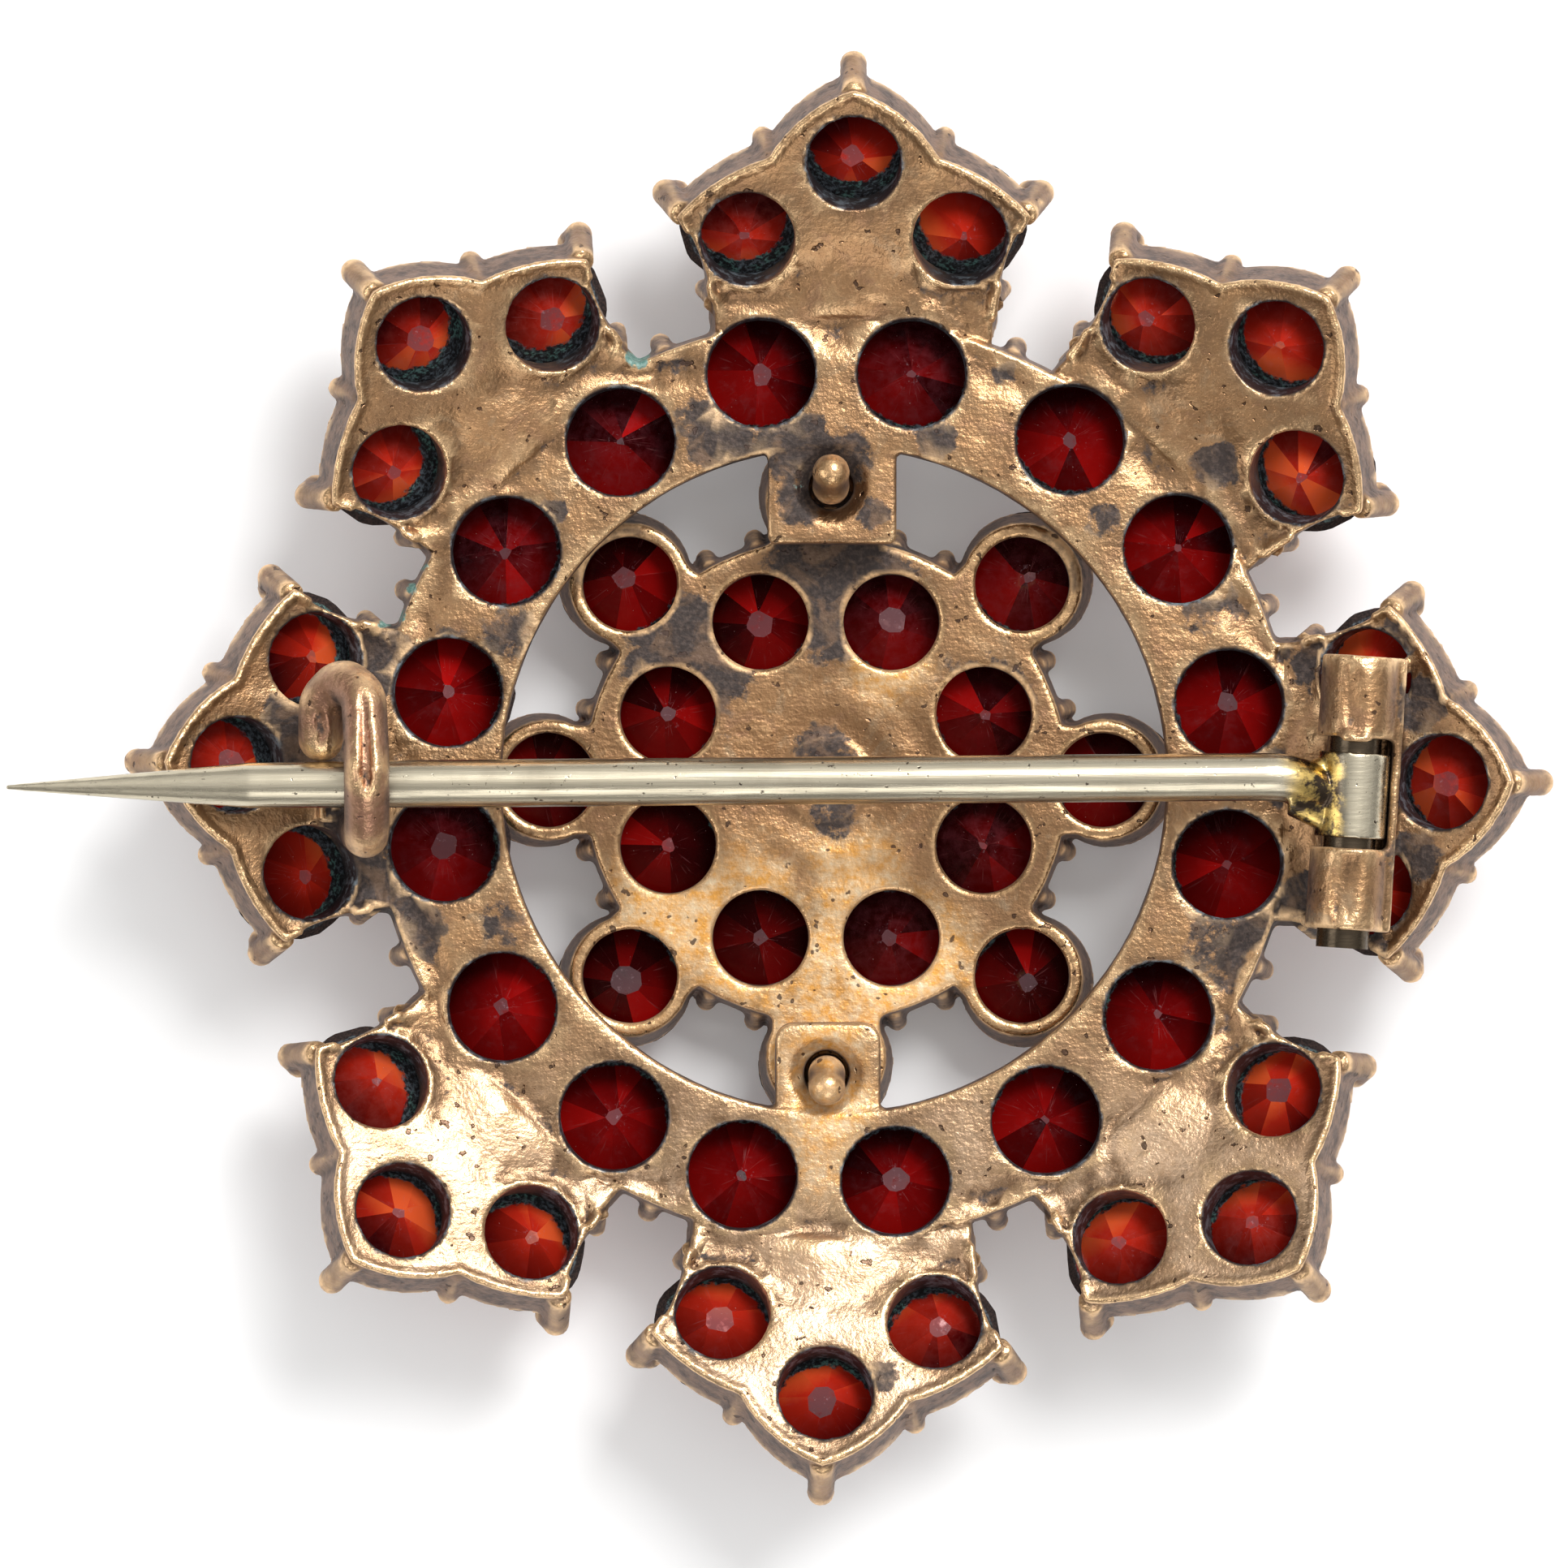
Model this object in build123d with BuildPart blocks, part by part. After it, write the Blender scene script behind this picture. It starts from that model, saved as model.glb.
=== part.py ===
"""A garnet star brooch seen from its back, in millimetres.

The brooch lies face down. The origin is at the middle of the outer frame, on the
centre stone's table, which rests on the XY plane. +Z points out of the back,
+Y points along the first arm and the pin's point lies at -X.

Three tiers are set one behind the other: the centre stone in a closed cup, the
inner star with its eight points, and the pierced outer frame with its eight arms,
whose tips are bent back. The frame carries the hinge, the pin and the catch.
"""

import os
from collections import namedtuple
from math import cos, hypot, radians, sin, sqrt

from build123d import *

os.makedirs("parts", exist_ok=True)

# Stones: girdle diameters from the middle outwards
centre_stone_diameter = 4.8
inner_stone_diameter = 3.05
point_stone_diameter = 3.4
ring_stone_diameter = 3.3
tip_stone_diameter = 3.25

# How every stone is cut, and the play that it has in its seat
facet_count = 10
table_share = 0.58
crown_share = 0.155
pavilion_share = 0.44
culet_share = 0.16
upper_facet_height = 0.62
upper_facet_end = 0.8
upper_facet_start = 0.985
girdle_thickness = 0.1
centre_crown_height = 0.8
seat_clearance = 0.06
stone_stand_off = 0.05
gem_turn_step = 23.0

# The ledge that holds each stone from behind, round its pierced hole
inner_ledge = 0.325
point_ledge = 0.52
ring_ledge = 0.3
tip_ledge = 0.455

# Tiers from the front to the back, and the metal left behind the deepest stones
centre_rise = 0.5
inner_depth = 1.45
tier_gap = 0.25
ring_depth = 1.6
arm_depth = 1.75
centre_floor = 0.5
inner_floor = 0.2

# Inner star, in front of the frame
inner_star_shift = -0.2
centre_cup_wall = 0.22
centre_cup_gap = 0.135
inner_stone_gap = 0.2
inner_disc_rim = 0.245
inner_wall_flare = 0.15
point_gap = 0.366
point_lean = 0.21
point_cup_wall = 0.32
point_cup_flare = 0.22
point_neck_width = 2.7
point_neck_flare = 0.12
back_dish_radius = 2.1
back_dish_floor_radius = 1.47
back_dish_depth = 0.15
boss_radius = 1.15
boss_root = 0.225
boss_height = 0.12
boss_hollow_radius = 0.75
boss_hollow_floor_radius = 0.45
boss_hollow_depth = 0.18

# Outer frame: a flat pierced ring, and eight arms bent back from it
opening_overlap = 0.14
ring_inner_rim = 0.1
ring_overhang = 0.25
ring_wall_flare = 0.15
bend_inset = 0.05
arm_tilt = 17.0
arm_wall_flare = 0.18
arm_root_overlap = 0.6
tip_stone_gap = 0.23

# Claws: bent wires that run over the wall and fold over a stone
strong_claw_radius = 0.33
valley_claw_radius = 0.27
neck_claw_radius = 0.24
inner_claw_radius = 0.26
centre_claw_radius = 0.2
claw_start_depth = 0.42
claw_knee_depth = 0.12
claw_tip_depth = 0.2
claw_fold = 0.3
claw_play = 0.03
claw_bead = 1.04
claw_base_inset = 0.1
notch_claw_out = 0.38
inner_claw_out = 0.35
inner_claw_turn = 16.5

# Two tabs of the frame, each held by a bent rivet of the inner star
rivet_diameter = 0.9
rivet_play = 0.12
rivet_stand = 0.34
rivet_bend_rise = 0.34
rivet_bend_run = 0.32
rivet_offset = 0.36
rivet_root = 0.08
tab_root_overlap = 0.35
tab_dimple_radius = 0.95
tab_dimple_depth = 0.3

# Hinge: a rail with a lip, two fixed knuckles and the pin's own knuckle
hinge_reach = 1.37
hinge_centre_y = -0.38
hinge_turn = 3.8
hinge_rise = 1.93
knuckle_radius = 0.95
pin_knuckle_radius = 0.88
hinge_pin_diameter = 1.3
hinge_fixed_play = 0.03
hinge_running_play = 0.05
upper_knuckle_start = 1.42
upper_knuckle_end = 3.45
pin_knuckle_half_length = 1.05
lower_knuckle_start = -1.3
lower_knuckle_end = -3.32
hinge_pin_proud = 0.45
hinge_pin_recess = 0.15
rail_thickness = 0.3
lip_thickness = 0.22
lip_gap = 0.05
rail_reach = 0.55
lip_above_axis = 0.2
rail_solder_half_length = 1.25

# Pin stem, from its knuckle to its point
stem_diameter = 1.18
stem_rise = 0.62
stem_length = 33.19
stem_root_y = 0.08
stem_point_y = -0.18
stem_shank_gap = 0.63
stem_neck_diameter = 1.12
stem_point_length = 6.0
stem_tip_diameter = 0.12
stem_bend_reach = 1.65
stem_bend_radius = 1.6
stem_flange_width = 2.0
stem_flange_height = 1.0
stem_flange_corner = 0.3
stem_flange_start = 0.55
stem_flange_reach = 1.58
stem_flange_climb = 0.6

# Catch: a bent wire soldered at its foot, open on the far side
catch_reach = 0.05
catch_wire_diameter = 1.12
catch_stem_gap = 0.06
catch_bend_share = 0.5
catch_foot_rise = 0.05
catch_plate_length = 1.5
catch_plate_width = 2.6
catch_plate_thickness = 0.22
catch_plate_proud = 0.22
catch_plate_start = 0.35

# The eight arms, clockwise from +Y. ring_turn and tip_turn are how far the pair of
# ring stones and the arm stand off their heading, in degrees, half_angle is half the
# angle between the pair, ring_reach and tip_reach are how far the two stand out, in
# millimetres, and twist is how far the arm is turned about its own root.
Arm = namedtuple("Arm", "name heading ring_turn half_angle ring_reach tip_turn tip_reach twist")
arms = [
    Arm("top", 0, 0.3, 10.5, 0.23, 2.4, 0.06, 2.4),
    Arm("top_right", 45, 0.4, 10.7, 0.25, 0.7, 0.08, 0.0),
    Arm("right", 90, 0.6, 11.5, -0.05, 0.2, -0.2, 0.0),
    Arm("bottom_right", 135, 2.1, 11.0, -0.08, 1.7, -0.28, 0.6),
    Arm("bottom", 180, 2.2, 10.9, 0.04, 0.3, -0.04, -2.2),
    Arm("bottom_left", 225, -0.6, 11.2, -0.05, 0.1, -0.13, 0.0),
    Arm("left", 270, 1.5, 11.3, -0.2, 1.5, -0.42, 0.0),
    Arm("top_left", 315, 1.3, 11.4, -0.1, 1.9, -0.38, 0.8),
]

# Half of an arm's outline at the back, from its neck to its tip, in shares of the
# pitch from one tip stone to the next. Each row gives a corner or the middle of an
# arc, and the way the wall leans out towards the front.
Edge = namedtuple("Edge", "name along aside lean_along lean_aside")
arm_edges = [
    Edge("neck", 0.0, 0.991, 0.0, 1.0),
    Edge("neck_arc", 0.374, 1.063, 0.0, 1.0),
    Edge("shoulder", 0.753, 1.236, 0.5, 0.87),
    Edge("side_arc", 0.997, 0.943, 0.8, 0.6),
    Edge("valley", 1.164, 0.589, 0.75, 0.66),
    Edge("tip_arc", 1.46, 0.339, 0.72, 0.7),
    Edge("tip", 1.652, 0.0, 1.0, 0.0),
]

# The three stones of an arm, in shares of the pitch: where each hole is pierced and
# where its stone is set
ArmStone = namedtuple("ArmStone", "name hole_along hole_aside along aside")
arm_stones = [
    ArmStone("left", 0.586, 0.756, 0.586, 0.79),
    ArmStone("tip", 1.141, 0.0, 1.15, 0.0),
    ArmStone("right", 0.586, -0.756, 0.586, -0.79),
]

# The claws of an arm. A claw starts at an edge of the outline and leans outwards, along
# the direction given, before it folds over the stones. along, aside and over, the room
# that it keeps beyond its own thickness, are shares of the pitch.
ArmClaw = namedtuple("ArmClaw", "name along aside toward_along toward_aside radius over")
arm_claws = [
    ArmClaw("tip", 1.615, 0.0, 1.0, 0.0, strong_claw_radius, 0.002),
    ArmClaw("shoulder", 0.741, 1.213, 0.38, 0.92, strong_claw_radius, 0.017),
    ArmClaw("valley", 1.126, 0.575, 0.72, 0.69, valley_claw_radius, 0.0),
    ArmClaw("neck", 0.086, 0.977, 0.0, 1.0, neck_claw_radius, -0.013),
]

# The catch's bent wire, from its foot to its free end, in shares of the room that the
# stem and the wire take: along the stem, across it and above its middle. The foot
# stands on the frame.
Bend = namedtuple("Bend", "name along aside above")
catch_bends = [
    Bend("foot", -0.3, -0.92, None),
    Bend("heel", -0.04, -1.05, 0.75),
    Bend("crown", 0.0, 0.25, 1.62),
    Bend("fall", -0.08, 1.78, 1.0),
    Bend("turn", -0.54, 2.16, 0.5),
    Bend("curl", -0.98, 1.7, 0.12),
    Bend("end", -1.0, 0.92, -0.12),
]

# The two tabs. side is the way along Y, past is how far the tab reaches beyond its
# rivet, drop is how far its face lies below the frame's back, and foot is how far its
# underside stands off the inner star.
Tab = namedtuple("Tab", "name side width past shift rivet_shift drop foot corner")
tabs = [
    Tab("top", 1, 3.2, 1.43, -0.05, -0.08, 0.06, 0.45, 0.2),
    Tab("bottom", -1, 2.62, 1.25, -0.16, -0.19, 0.12, 0.08, 0.45),
]

# Levels that follow from the sizes above, from the front to the back
arm_step = 360 / len(arms)
centre_girdle = centre_crown_height
centre_wall_end = centre_girdle + stone_stand_off
inner_front = centre_girdle + centre_rise
inner_girdle = inner_front - stone_stand_off
inner_back = inner_front + inner_depth
ring_front = inner_back + tier_gap
ring_girdle = ring_front - stone_stand_off
frame_back = ring_front + ring_depth
tilt_cos = cos(radians(arm_tilt))
tilt_sin = sin(radians(arm_tilt))
through_length = 4 * (inner_depth + ring_depth)

# Depths of the stones' backs
centre_pavilion = centre_rise + inner_depth - centre_floor
inner_pavilion = inner_depth - inner_floor
ring_pavilion = ring_stone_diameter * pavilion_share
tip_pavilion = tip_stone_diameter * pavilion_share

# Radii that follow, from the middle outwards. The inner star's stones clear the centre
# cup and each other, and a point's stone clears the two stones beside it.
centre_cup_radius = centre_stone_diameter / 2 + centre_cup_wall
inner_stone_radius = max(
    centre_cup_radius + centre_cup_gap + inner_stone_diameter / 2,
    (inner_stone_diameter + inner_stone_gap) / 2 / sin(radians(arm_step / 2)),
)
inner_disc_radius = inner_stone_radius + inner_stone_diameter / 2 + inner_disc_rim
point_spacing = (inner_stone_diameter + point_stone_diameter) / 2 + point_gap
point_stone_radius = inner_stone_radius * cos(radians(arm_step / 2)) + sqrt(
    point_spacing**2 - (inner_stone_radius * sin(radians(arm_step / 2))) ** 2
)
point_hole_radius = point_stone_radius - point_lean
point_cup_radius = point_stone_diameter / 2 - point_ledge + point_cup_wall
point_edge = point_hole_radius + point_cup_radius
rivet_radius = point_hole_radius + rivet_offset
opening_radius = point_edge - opening_overlap
ring_stone_radius = opening_radius + ring_inner_rim + ring_stone_diameter / 2
ring_outer_radius = ring_stone_radius + ring_stone_diameter / 2 - ring_overhang
bend_radius = ring_outer_radius - bend_inset
pitch = tip_stone_diameter + tip_stone_gap

# The hinge's axis, the stem's line and the room that it takes in the catch
hinge_centre_x = bend_radius + hinge_reach
hinge_axis_height = frame_back + hinge_rise
stem_height = hinge_axis_height + stem_rise
stem_radius = stem_diameter / 2
stem_root = Vector(hinge_centre_x - stem_bend_reach, stem_root_y, stem_height)
stem_point = Vector(hinge_centre_x - stem_length, stem_point_y, stem_height)
stem_direction = (stem_point - stem_root).normalized()
catch_x = -bend_radius - catch_reach
catch_stem = stem_root + stem_direction * ((catch_x - stem_root.X) / stem_direction.X)
catch_room = stem_radius + catch_stem_gap + catch_wire_diameter / 2


def heading_vector(heading):
    """The unit vector that points along a heading, clockwise from +Y."""
    return Vector(sin(radians(heading)), cos(radians(heading)), 0)


def at_radius(radius, heading, height, shift=0.0):
    """A point at a radius and a heading, with its middle moved along X."""
    return heading_vector(heading) * radius + Vector(shift, 0, height)


def arm_plane(arm):
    """The plane of an arm's back face, with X along the arm and Z out of the back."""
    root = heading_vector(arm.heading + arm.tip_turn)
    outward = heading_vector(arm.heading + arm.tip_turn - arm.twist)
    up = Vector(0, 0, 1)
    return Plane(
        origin=root * (bend_radius + arm.tip_reach) + up * frame_back,
        x_dir=outward * tilt_cos + up * tilt_sin,
        z_dir=up * tilt_cos - outward * tilt_sin,
    )


def cut_gem(diameter, crown_height, pavilion_depth):
    """A faceted stone: table at -Z, culet at +Z, the girdle's middle at the origin."""
    radius = diameter / 2
    apothem = radius * cos(radians(180 / facet_count))
    half_girdle = girdle_thickness / 2
    table_radius = apothem * table_share
    culet_radius = apothem * culet_share
    step = 360 / facet_count
    with BuildPart() as gem:
        with BuildSketch(Plane.XY.offset(-crown_height)):
            RegularPolygon(radius, facet_count)
        extrude(amount=crown_height + pavilion_depth)
        # Each tier is a ring of flat cuts: the height where the cut meets the girdle,
        # the height and radius where it ends, and its turn in half steps.
        upper_height = -crown_height * upper_facet_height
        upper_end = apothem * upper_facet_end
        upper_start = radius * upper_facet_start
        tiers = [
            (-half_girdle, -crown_height, table_radius, apothem, 0),
            (-half_girdle, upper_height, upper_end, upper_start, 1),
            (half_girdle, pavilion_depth, culet_radius, apothem, 0),
        ]
        for start_height, end_height, end_radius, start_radius, half_turns in tiers:
            rise = end_height - start_height
            run = start_radius - end_radius
            for facet in range(facet_count):
                turn = radians(step * (facet + 0.5 + half_turns / 2))
                outward = Vector(cos(turn), sin(turn), 0)
                normal = outward * abs(rise) + Vector(0, 0, run if rise > 0 else -run)
                origin = outward * start_radius + Vector(0, 0, start_height)
                split(bisect_by=Plane(origin=origin, z_dir=normal), keep=Keep.BOTTOM)
    return gem.part


def make_seat(diameter, pavilion_depth, hole_radius, hole_shift=(0.0, 0.0), blind=False):
    """The space that a stone takes from the metal, with the hole behind it."""
    radius = diameter / 2 + seat_clearance
    culet = diameter / 2 * culet_share
    slope = (diameter / 2 - culet) / (pavilion_depth - girdle_thickness / 2)
    depth = pavilion_depth + seat_clearance
    with BuildPart() as seat:
        Cylinder(
            radius,
            pavilion_depth,
            align=(Align.CENTER, Align.CENTER, Align.MAX),
        )
        Cylinder(
            radius,
            girdle_thickness / 2,
            align=(Align.CENTER, Align.CENTER, Align.MIN),
        )
        with Locations((0, 0, girdle_thickness / 2)):
            Cone(
                radius,
                radius - slope * (depth - girdle_thickness / 2),
                depth - girdle_thickness / 2,
                align=(Align.CENTER, Align.CENTER, Align.MIN),
            )
        if not blind:
            with Locations((hole_shift[0], hole_shift[1], girdle_thickness / 2)):
                Cylinder(
                    hole_radius,
                    pavilion_depth * 2,
                    align=(Align.CENTER, Align.CENTER, Align.MIN),
                )
    return seat.part


def make_claw(start, knee, end, radius):
    """A round wire from the wall's back edge over a bend, with a rounded end."""
    with BuildPart() as claw:
        for foot, head in ((start, knee), (knee, end)):
            with Locations(Plane(origin=foot, z_dir=head - foot).location):
                Cylinder(
                    radius,
                    (head - foot).length,
                    align=(Align.CENTER, Align.CENTER, Align.MIN),
                )
        for middle in (knee, end):
            with Locations(middle):
                Sphere(radius * claw_bead)
    return claw.part


def arm_outline(height, flare):
    """An arm's outline at a height, with its wall leaning out by the flare."""
    corner = {
        edge.name: (
            edge.along * pitch + edge.lean_along * flare,
            edge.aside * pitch + edge.lean_aside * flare,
        )
        for edge in arm_edges
    }
    root = (-arm_root_overlap, corner["neck"][1])
    with BuildSketch(Plane.XY.offset(height)) as outline:
        with BuildLine():
            Line((root[0], 0), root)
            Line(root, corner["neck"])
            ThreePointArc(corner["neck"], corner["neck_arc"], corner["shoulder"])
            ThreePointArc(corner["shoulder"], corner["side_arc"], corner["valley"])
            ThreePointArc(corner["valley"], corner["tip_arc"], corner["tip"])
            mirror(about=Plane.XZ)
        make_face()
    return outline.sketch.face()


def claw_room(radius):
    """How far a claw's knee stands off the edge of the stone that it folds over."""
    rise = claw_tip_depth + radius - claw_knee_depth
    return radius * hypot(claw_fold, rise) / rise + claw_play


def outline_claw(base, toward, out, face_depth, radius):
    """A claw on a wall. The base is on the back's outline, the wall ends at a depth."""
    down = Vector(0, 0, -1)
    start = base + down * claw_start_depth
    knee = base + toward * out + down * (face_depth + claw_knee_depth)
    end = base + toward * (out - claw_fold) + down * (face_depth + claw_tip_depth + radius)
    return make_claw(start, knee, end, radius)


def hinge_side_plane(reach):
    """The plane across the stem's root, at a reach from the hinge's axis."""
    share = (reach - stem_flange_start) / (stem_flange_reach - stem_flange_start)
    rise = stem_rise * share * stem_flange_climb
    origin = hinge_middle - hinge_outward * reach + Vector(0, 0, rise)
    return Plane(origin=origin, x_dir=hinge_direction, z_dir=-hinge_outward)


# Stones, cut once for each size
ring_gem = cut_gem(ring_stone_diameter, ring_stone_diameter * crown_share, ring_pavilion)
tip_gem = cut_gem(tip_stone_diameter, tip_stone_diameter * crown_share, tip_pavilion)
inner_gem = cut_gem(inner_stone_diameter, inner_stone_diameter * crown_share, inner_pavilion)
point_gem = cut_gem(point_stone_diameter, point_stone_diameter * crown_share, inner_pavilion)
centre_gem = cut_gem(centre_stone_diameter, centre_crown_height, centre_pavilion)

# Places of the ring stones, two for each arm
ring_places = []
for arm in arms:
    for side in (-1, 1):
        heading = arm.heading + arm.ring_turn + side * arm.half_angle
        middle = at_radius(ring_stone_radius + arm.ring_reach, heading, ring_girdle)
        ring_places.append(Plane(origin=middle, x_dir=heading_vector(heading)))

# Places of the stones at the arms' tips, three for each arm
tip_places = []
tip_girdle_depth = arm_depth + stone_stand_off
for arm in arms:
    plane = arm_plane(arm)
    for stone in arm_stones:
        middle = plane.from_local_coords(
            (stone.along * pitch, stone.aside * pitch, -tip_girdle_depth)
        )
        tip_places.append(Plane(origin=middle, x_dir=plane.x_dir, z_dir=plane.z_dir))

# Places of the inner star's stones, between its points and at them
inner_places = []
point_places = []
for index in range(len(arms)):
    for places, radius, heading in (
        (inner_places, inner_stone_radius, (index + 0.5) * arm_step),
        (point_places, point_stone_radius, index * arm_step),
    ):
        middle = at_radius(radius, heading, inner_girdle, inner_star_shift)
        places.append(Plane(origin=middle, x_dir=heading_vector(heading)))
centre_place = Plane(origin=(inner_star_shift, 0, centre_girdle))

# One arm: its blank, pierced for its three stones, with its claws
arm_claw_wires = []
for row in arm_claws:
    for side in (1,) if row.aside == 0 else (1, -1):
        arm_claw_wires.append(
            outline_claw(
                Vector(row.along * pitch, row.aside * pitch * side, 0),
                Vector(row.toward_along, row.toward_aside * side, 0).normalized(),
                row.over * pitch + claw_room(row.radius),
                arm_depth,
                row.radius,
            )
        )
with BuildPart() as arm_piece:
    loft(sections=[arm_outline(0, 0), arm_outline(-arm_depth, arm_wall_flare)], ruled=True)
    for stone in arm_stones:
        shift = (stone.hole_along - stone.along, stone.hole_aside - stone.aside)
        seat = make_seat(
            tip_stone_diameter,
            tip_pavilion,
            tip_stone_diameter / 2 - tip_ledge,
            (shift[0] * pitch, shift[1] * pitch),
        )
        with Locations((stone.along * pitch, stone.aside * pitch, -tip_girdle_depth)):
            add(seat, mode=Mode.SUBTRACT)
    add(arm_claw_wires)

# The claws in the notches between the arms
notch_claws = []
for index, arm in enumerate(arms):
    next_arm = arms[(index + 1) % len(arms)]
    heading = arm.heading + arm_step / 2 + (arm.ring_turn + next_arm.ring_turn) / 2
    notch_claws.append(
        outline_claw(
            at_radius(ring_outer_radius - claw_base_inset, heading, frame_back),
            heading_vector(heading),
            notch_claw_out,
            ring_depth,
            valley_claw_radius,
        )
    )

# Places that the hinge and the catch take
hinge_direction = heading_vector(hinge_turn)
hinge_outward = heading_vector(hinge_turn + 90)
hinge_middle = Vector(hinge_centre_x, hinge_centre_y, hinge_axis_height)
hinge_plane = Plane(origin=hinge_middle, x_dir=hinge_outward, z_dir=hinge_direction)
rail_plane = Plane(origin=hinge_middle, x_dir=hinge_outward, z_dir=(0, 0, 1))
rail_length = upper_knuckle_end - lower_knuckle_end
rail_middle = (upper_knuckle_end + lower_knuckle_end) / 2
rail_top = -pin_knuckle_radius - lip_gap
lip_inner = pin_knuckle_radius + lip_gap
lip_outer = lip_inner + lip_thickness
rail_height = hinge_axis_height + rail_top - rail_thickness - frame_back
catch_arm = next(arm for arm in arms if arm.name == "left")
catch_points = []
for bend in catch_bends:
    above = frame_back + catch_foot_rise - stem_height
    if bend.above is not None:
        above = bend.above * catch_room
    catch_points.append(
        catch_stem + Vector(bend.along * catch_room, bend.aside * catch_room, above)
    )

# Outer frame: ring, arms, tabs, hinge rail with its fixed knuckles, and the catch
with BuildPart() as outer_frame:
    with Locations((0, 0, ring_front)):
        Cone(
            ring_outer_radius + ring_wall_flare,
            ring_outer_radius,
            ring_depth,
            align=(Align.CENTER, Align.CENTER, Align.MIN),
        )
    with Locations(*[arm_plane(arm).location for arm in arms]):
        add(arm_piece.part)
    with Locations((0, 0, frame_back)):
        Cylinder(opening_radius, through_length, mode=Mode.SUBTRACT)
    # Tabs that hold the inner star
    tab_root = opening_radius + tab_root_overlap
    for tab in tabs:
        tab_face = frame_back - tab.drop
        tab_foot = inner_back + tab.foot
        tab_end = rivet_radius - tab.past
        with BuildSketch(Plane.XY.offset(tab_foot)):
            with Locations((tab.shift, tab.side * (tab_end + tab_root) / 2)):
                RectangleRounded(tab.width, tab_root - tab_end, tab.corner)
            with Locations((tab.shift, tab.side * (tab_root - tab.corner / 2))):
                Rectangle(tab.width, tab.corner)
        extrude(amount=tab_face - tab_foot)
        hole_radius = rivet_diameter / 2 + rivet_play
        with Locations((tab.rivet_shift, tab.side * rivet_radius, tab_face)):
            Cylinder(hole_radius, through_length, mode=Mode.SUBTRACT)
            Cone(
                hole_radius,
                tab_dimple_radius,
                tab_dimple_depth,
                align=(Align.CENTER, Align.CENTER, Align.MAX),
                mode=Mode.SUBTRACT,
            )
    # Seats and holes of the ring stones
    ring_seat = make_seat(
        ring_stone_diameter, ring_pavilion, ring_stone_diameter / 2 - ring_ledge
    )
    with Locations(*[place.location for place in ring_places]):
        add(ring_seat, mode=Mode.SUBTRACT)
    add(notch_claws)
    # Hinge rail: a strip under the knuckles, its upright lip and the solder below
    with Locations(rail_plane.location):
        with Locations((-rail_reach, rail_middle, rail_top)):
            Box(
                rail_reach + lip_outer,
                rail_length,
                rail_thickness,
                align=(Align.MIN, Align.CENTER, Align.MAX),
            )
        with Locations((lip_inner, rail_middle, rail_top - rail_thickness)):
            Box(
                lip_thickness,
                rail_length,
                lip_above_axis - rail_top + rail_thickness,
                align=(Align.MIN, Align.CENTER, Align.MIN),
            )
        with Locations((-rail_reach, 0, rail_top - rail_thickness / 2)):
            Box(
                rail_reach + lip_inner,
                2 * rail_solder_half_length,
                rail_height + rail_thickness / 2,
                align=(Align.MIN, Align.CENTER, Align.MAX),
            )
    # The two fixed knuckles
    with Locations(hinge_plane.location):
        for start, end in (
            (upper_knuckle_start, upper_knuckle_end),
            (lower_knuckle_end, lower_knuckle_start),
        ):
            with Locations((0, 0, start)):
                Cylinder(
                    knuckle_radius,
                    end - start,
                    align=(Align.CENTER, Align.CENTER, Align.MIN),
                )
        Cylinder(
            hinge_pin_diameter / 2 + hinge_fixed_play,
            through_length,
            mode=Mode.SUBTRACT,
        )
    # Catch: a small plate and the bent wire that holds the stem
    with Locations(arm_plane(catch_arm).location):
        with Locations((catch_plate_start, 0, catch_plate_proud)):
            Box(
                catch_plate_length,
                catch_plate_width,
                catch_plate_proud + catch_plate_thickness,
                align=(Align.MIN, Align.CENTER, Align.MAX),
            )
    with BuildLine() as catch_path:
        FilletPolyline(*catch_points, radius=catch_room * catch_bend_share)
    with BuildSketch(Plane(origin=catch_points[0], z_dir=catch_path.line % 0)):
        Circle(catch_wire_diameter / 2)
    sweep()
    with Locations(catch_points[-1]):
        Sphere(catch_wire_diameter / 2)

# The inner star's claws: between its points, at their ends and round the centre cup
centre_claw_start = inner_front + claw_start_depth
centre_claw_depth = centre_claw_start - centre_wall_end
centre_claw_out = (
    centre_stone_diameter / 2
    - (centre_cup_radius - claw_base_inset)
    + claw_room(centre_claw_radius)
)
point_claw_out = (
    point_stone_radius
    + point_stone_diameter / 2
    - (point_edge - claw_base_inset)
    + claw_room(inner_claw_radius)
)
inner_claws = []
for index in range(len(arms)):
    for turn, wall, out in (
        (-inner_claw_turn, inner_disc_radius, inner_claw_out),
        (inner_claw_turn, inner_disc_radius, inner_claw_out),
        (0, point_edge, point_claw_out),
    ):
        heading = index * arm_step + turn
        base = at_radius(wall - claw_base_inset, heading, inner_back, inner_star_shift)
        inner_claws.append(
            outline_claw(base, heading_vector(heading), out, inner_depth, inner_claw_radius)
        )
    heading = index * arm_step
    base = at_radius(
        centre_cup_radius - claw_base_inset, heading, centre_claw_start, inner_star_shift
    )
    inner_claws.append(
        outline_claw(
            base,
            heading_vector(heading),
            centre_claw_out,
            centre_claw_depth,
            centre_claw_radius,
        )
    )

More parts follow.
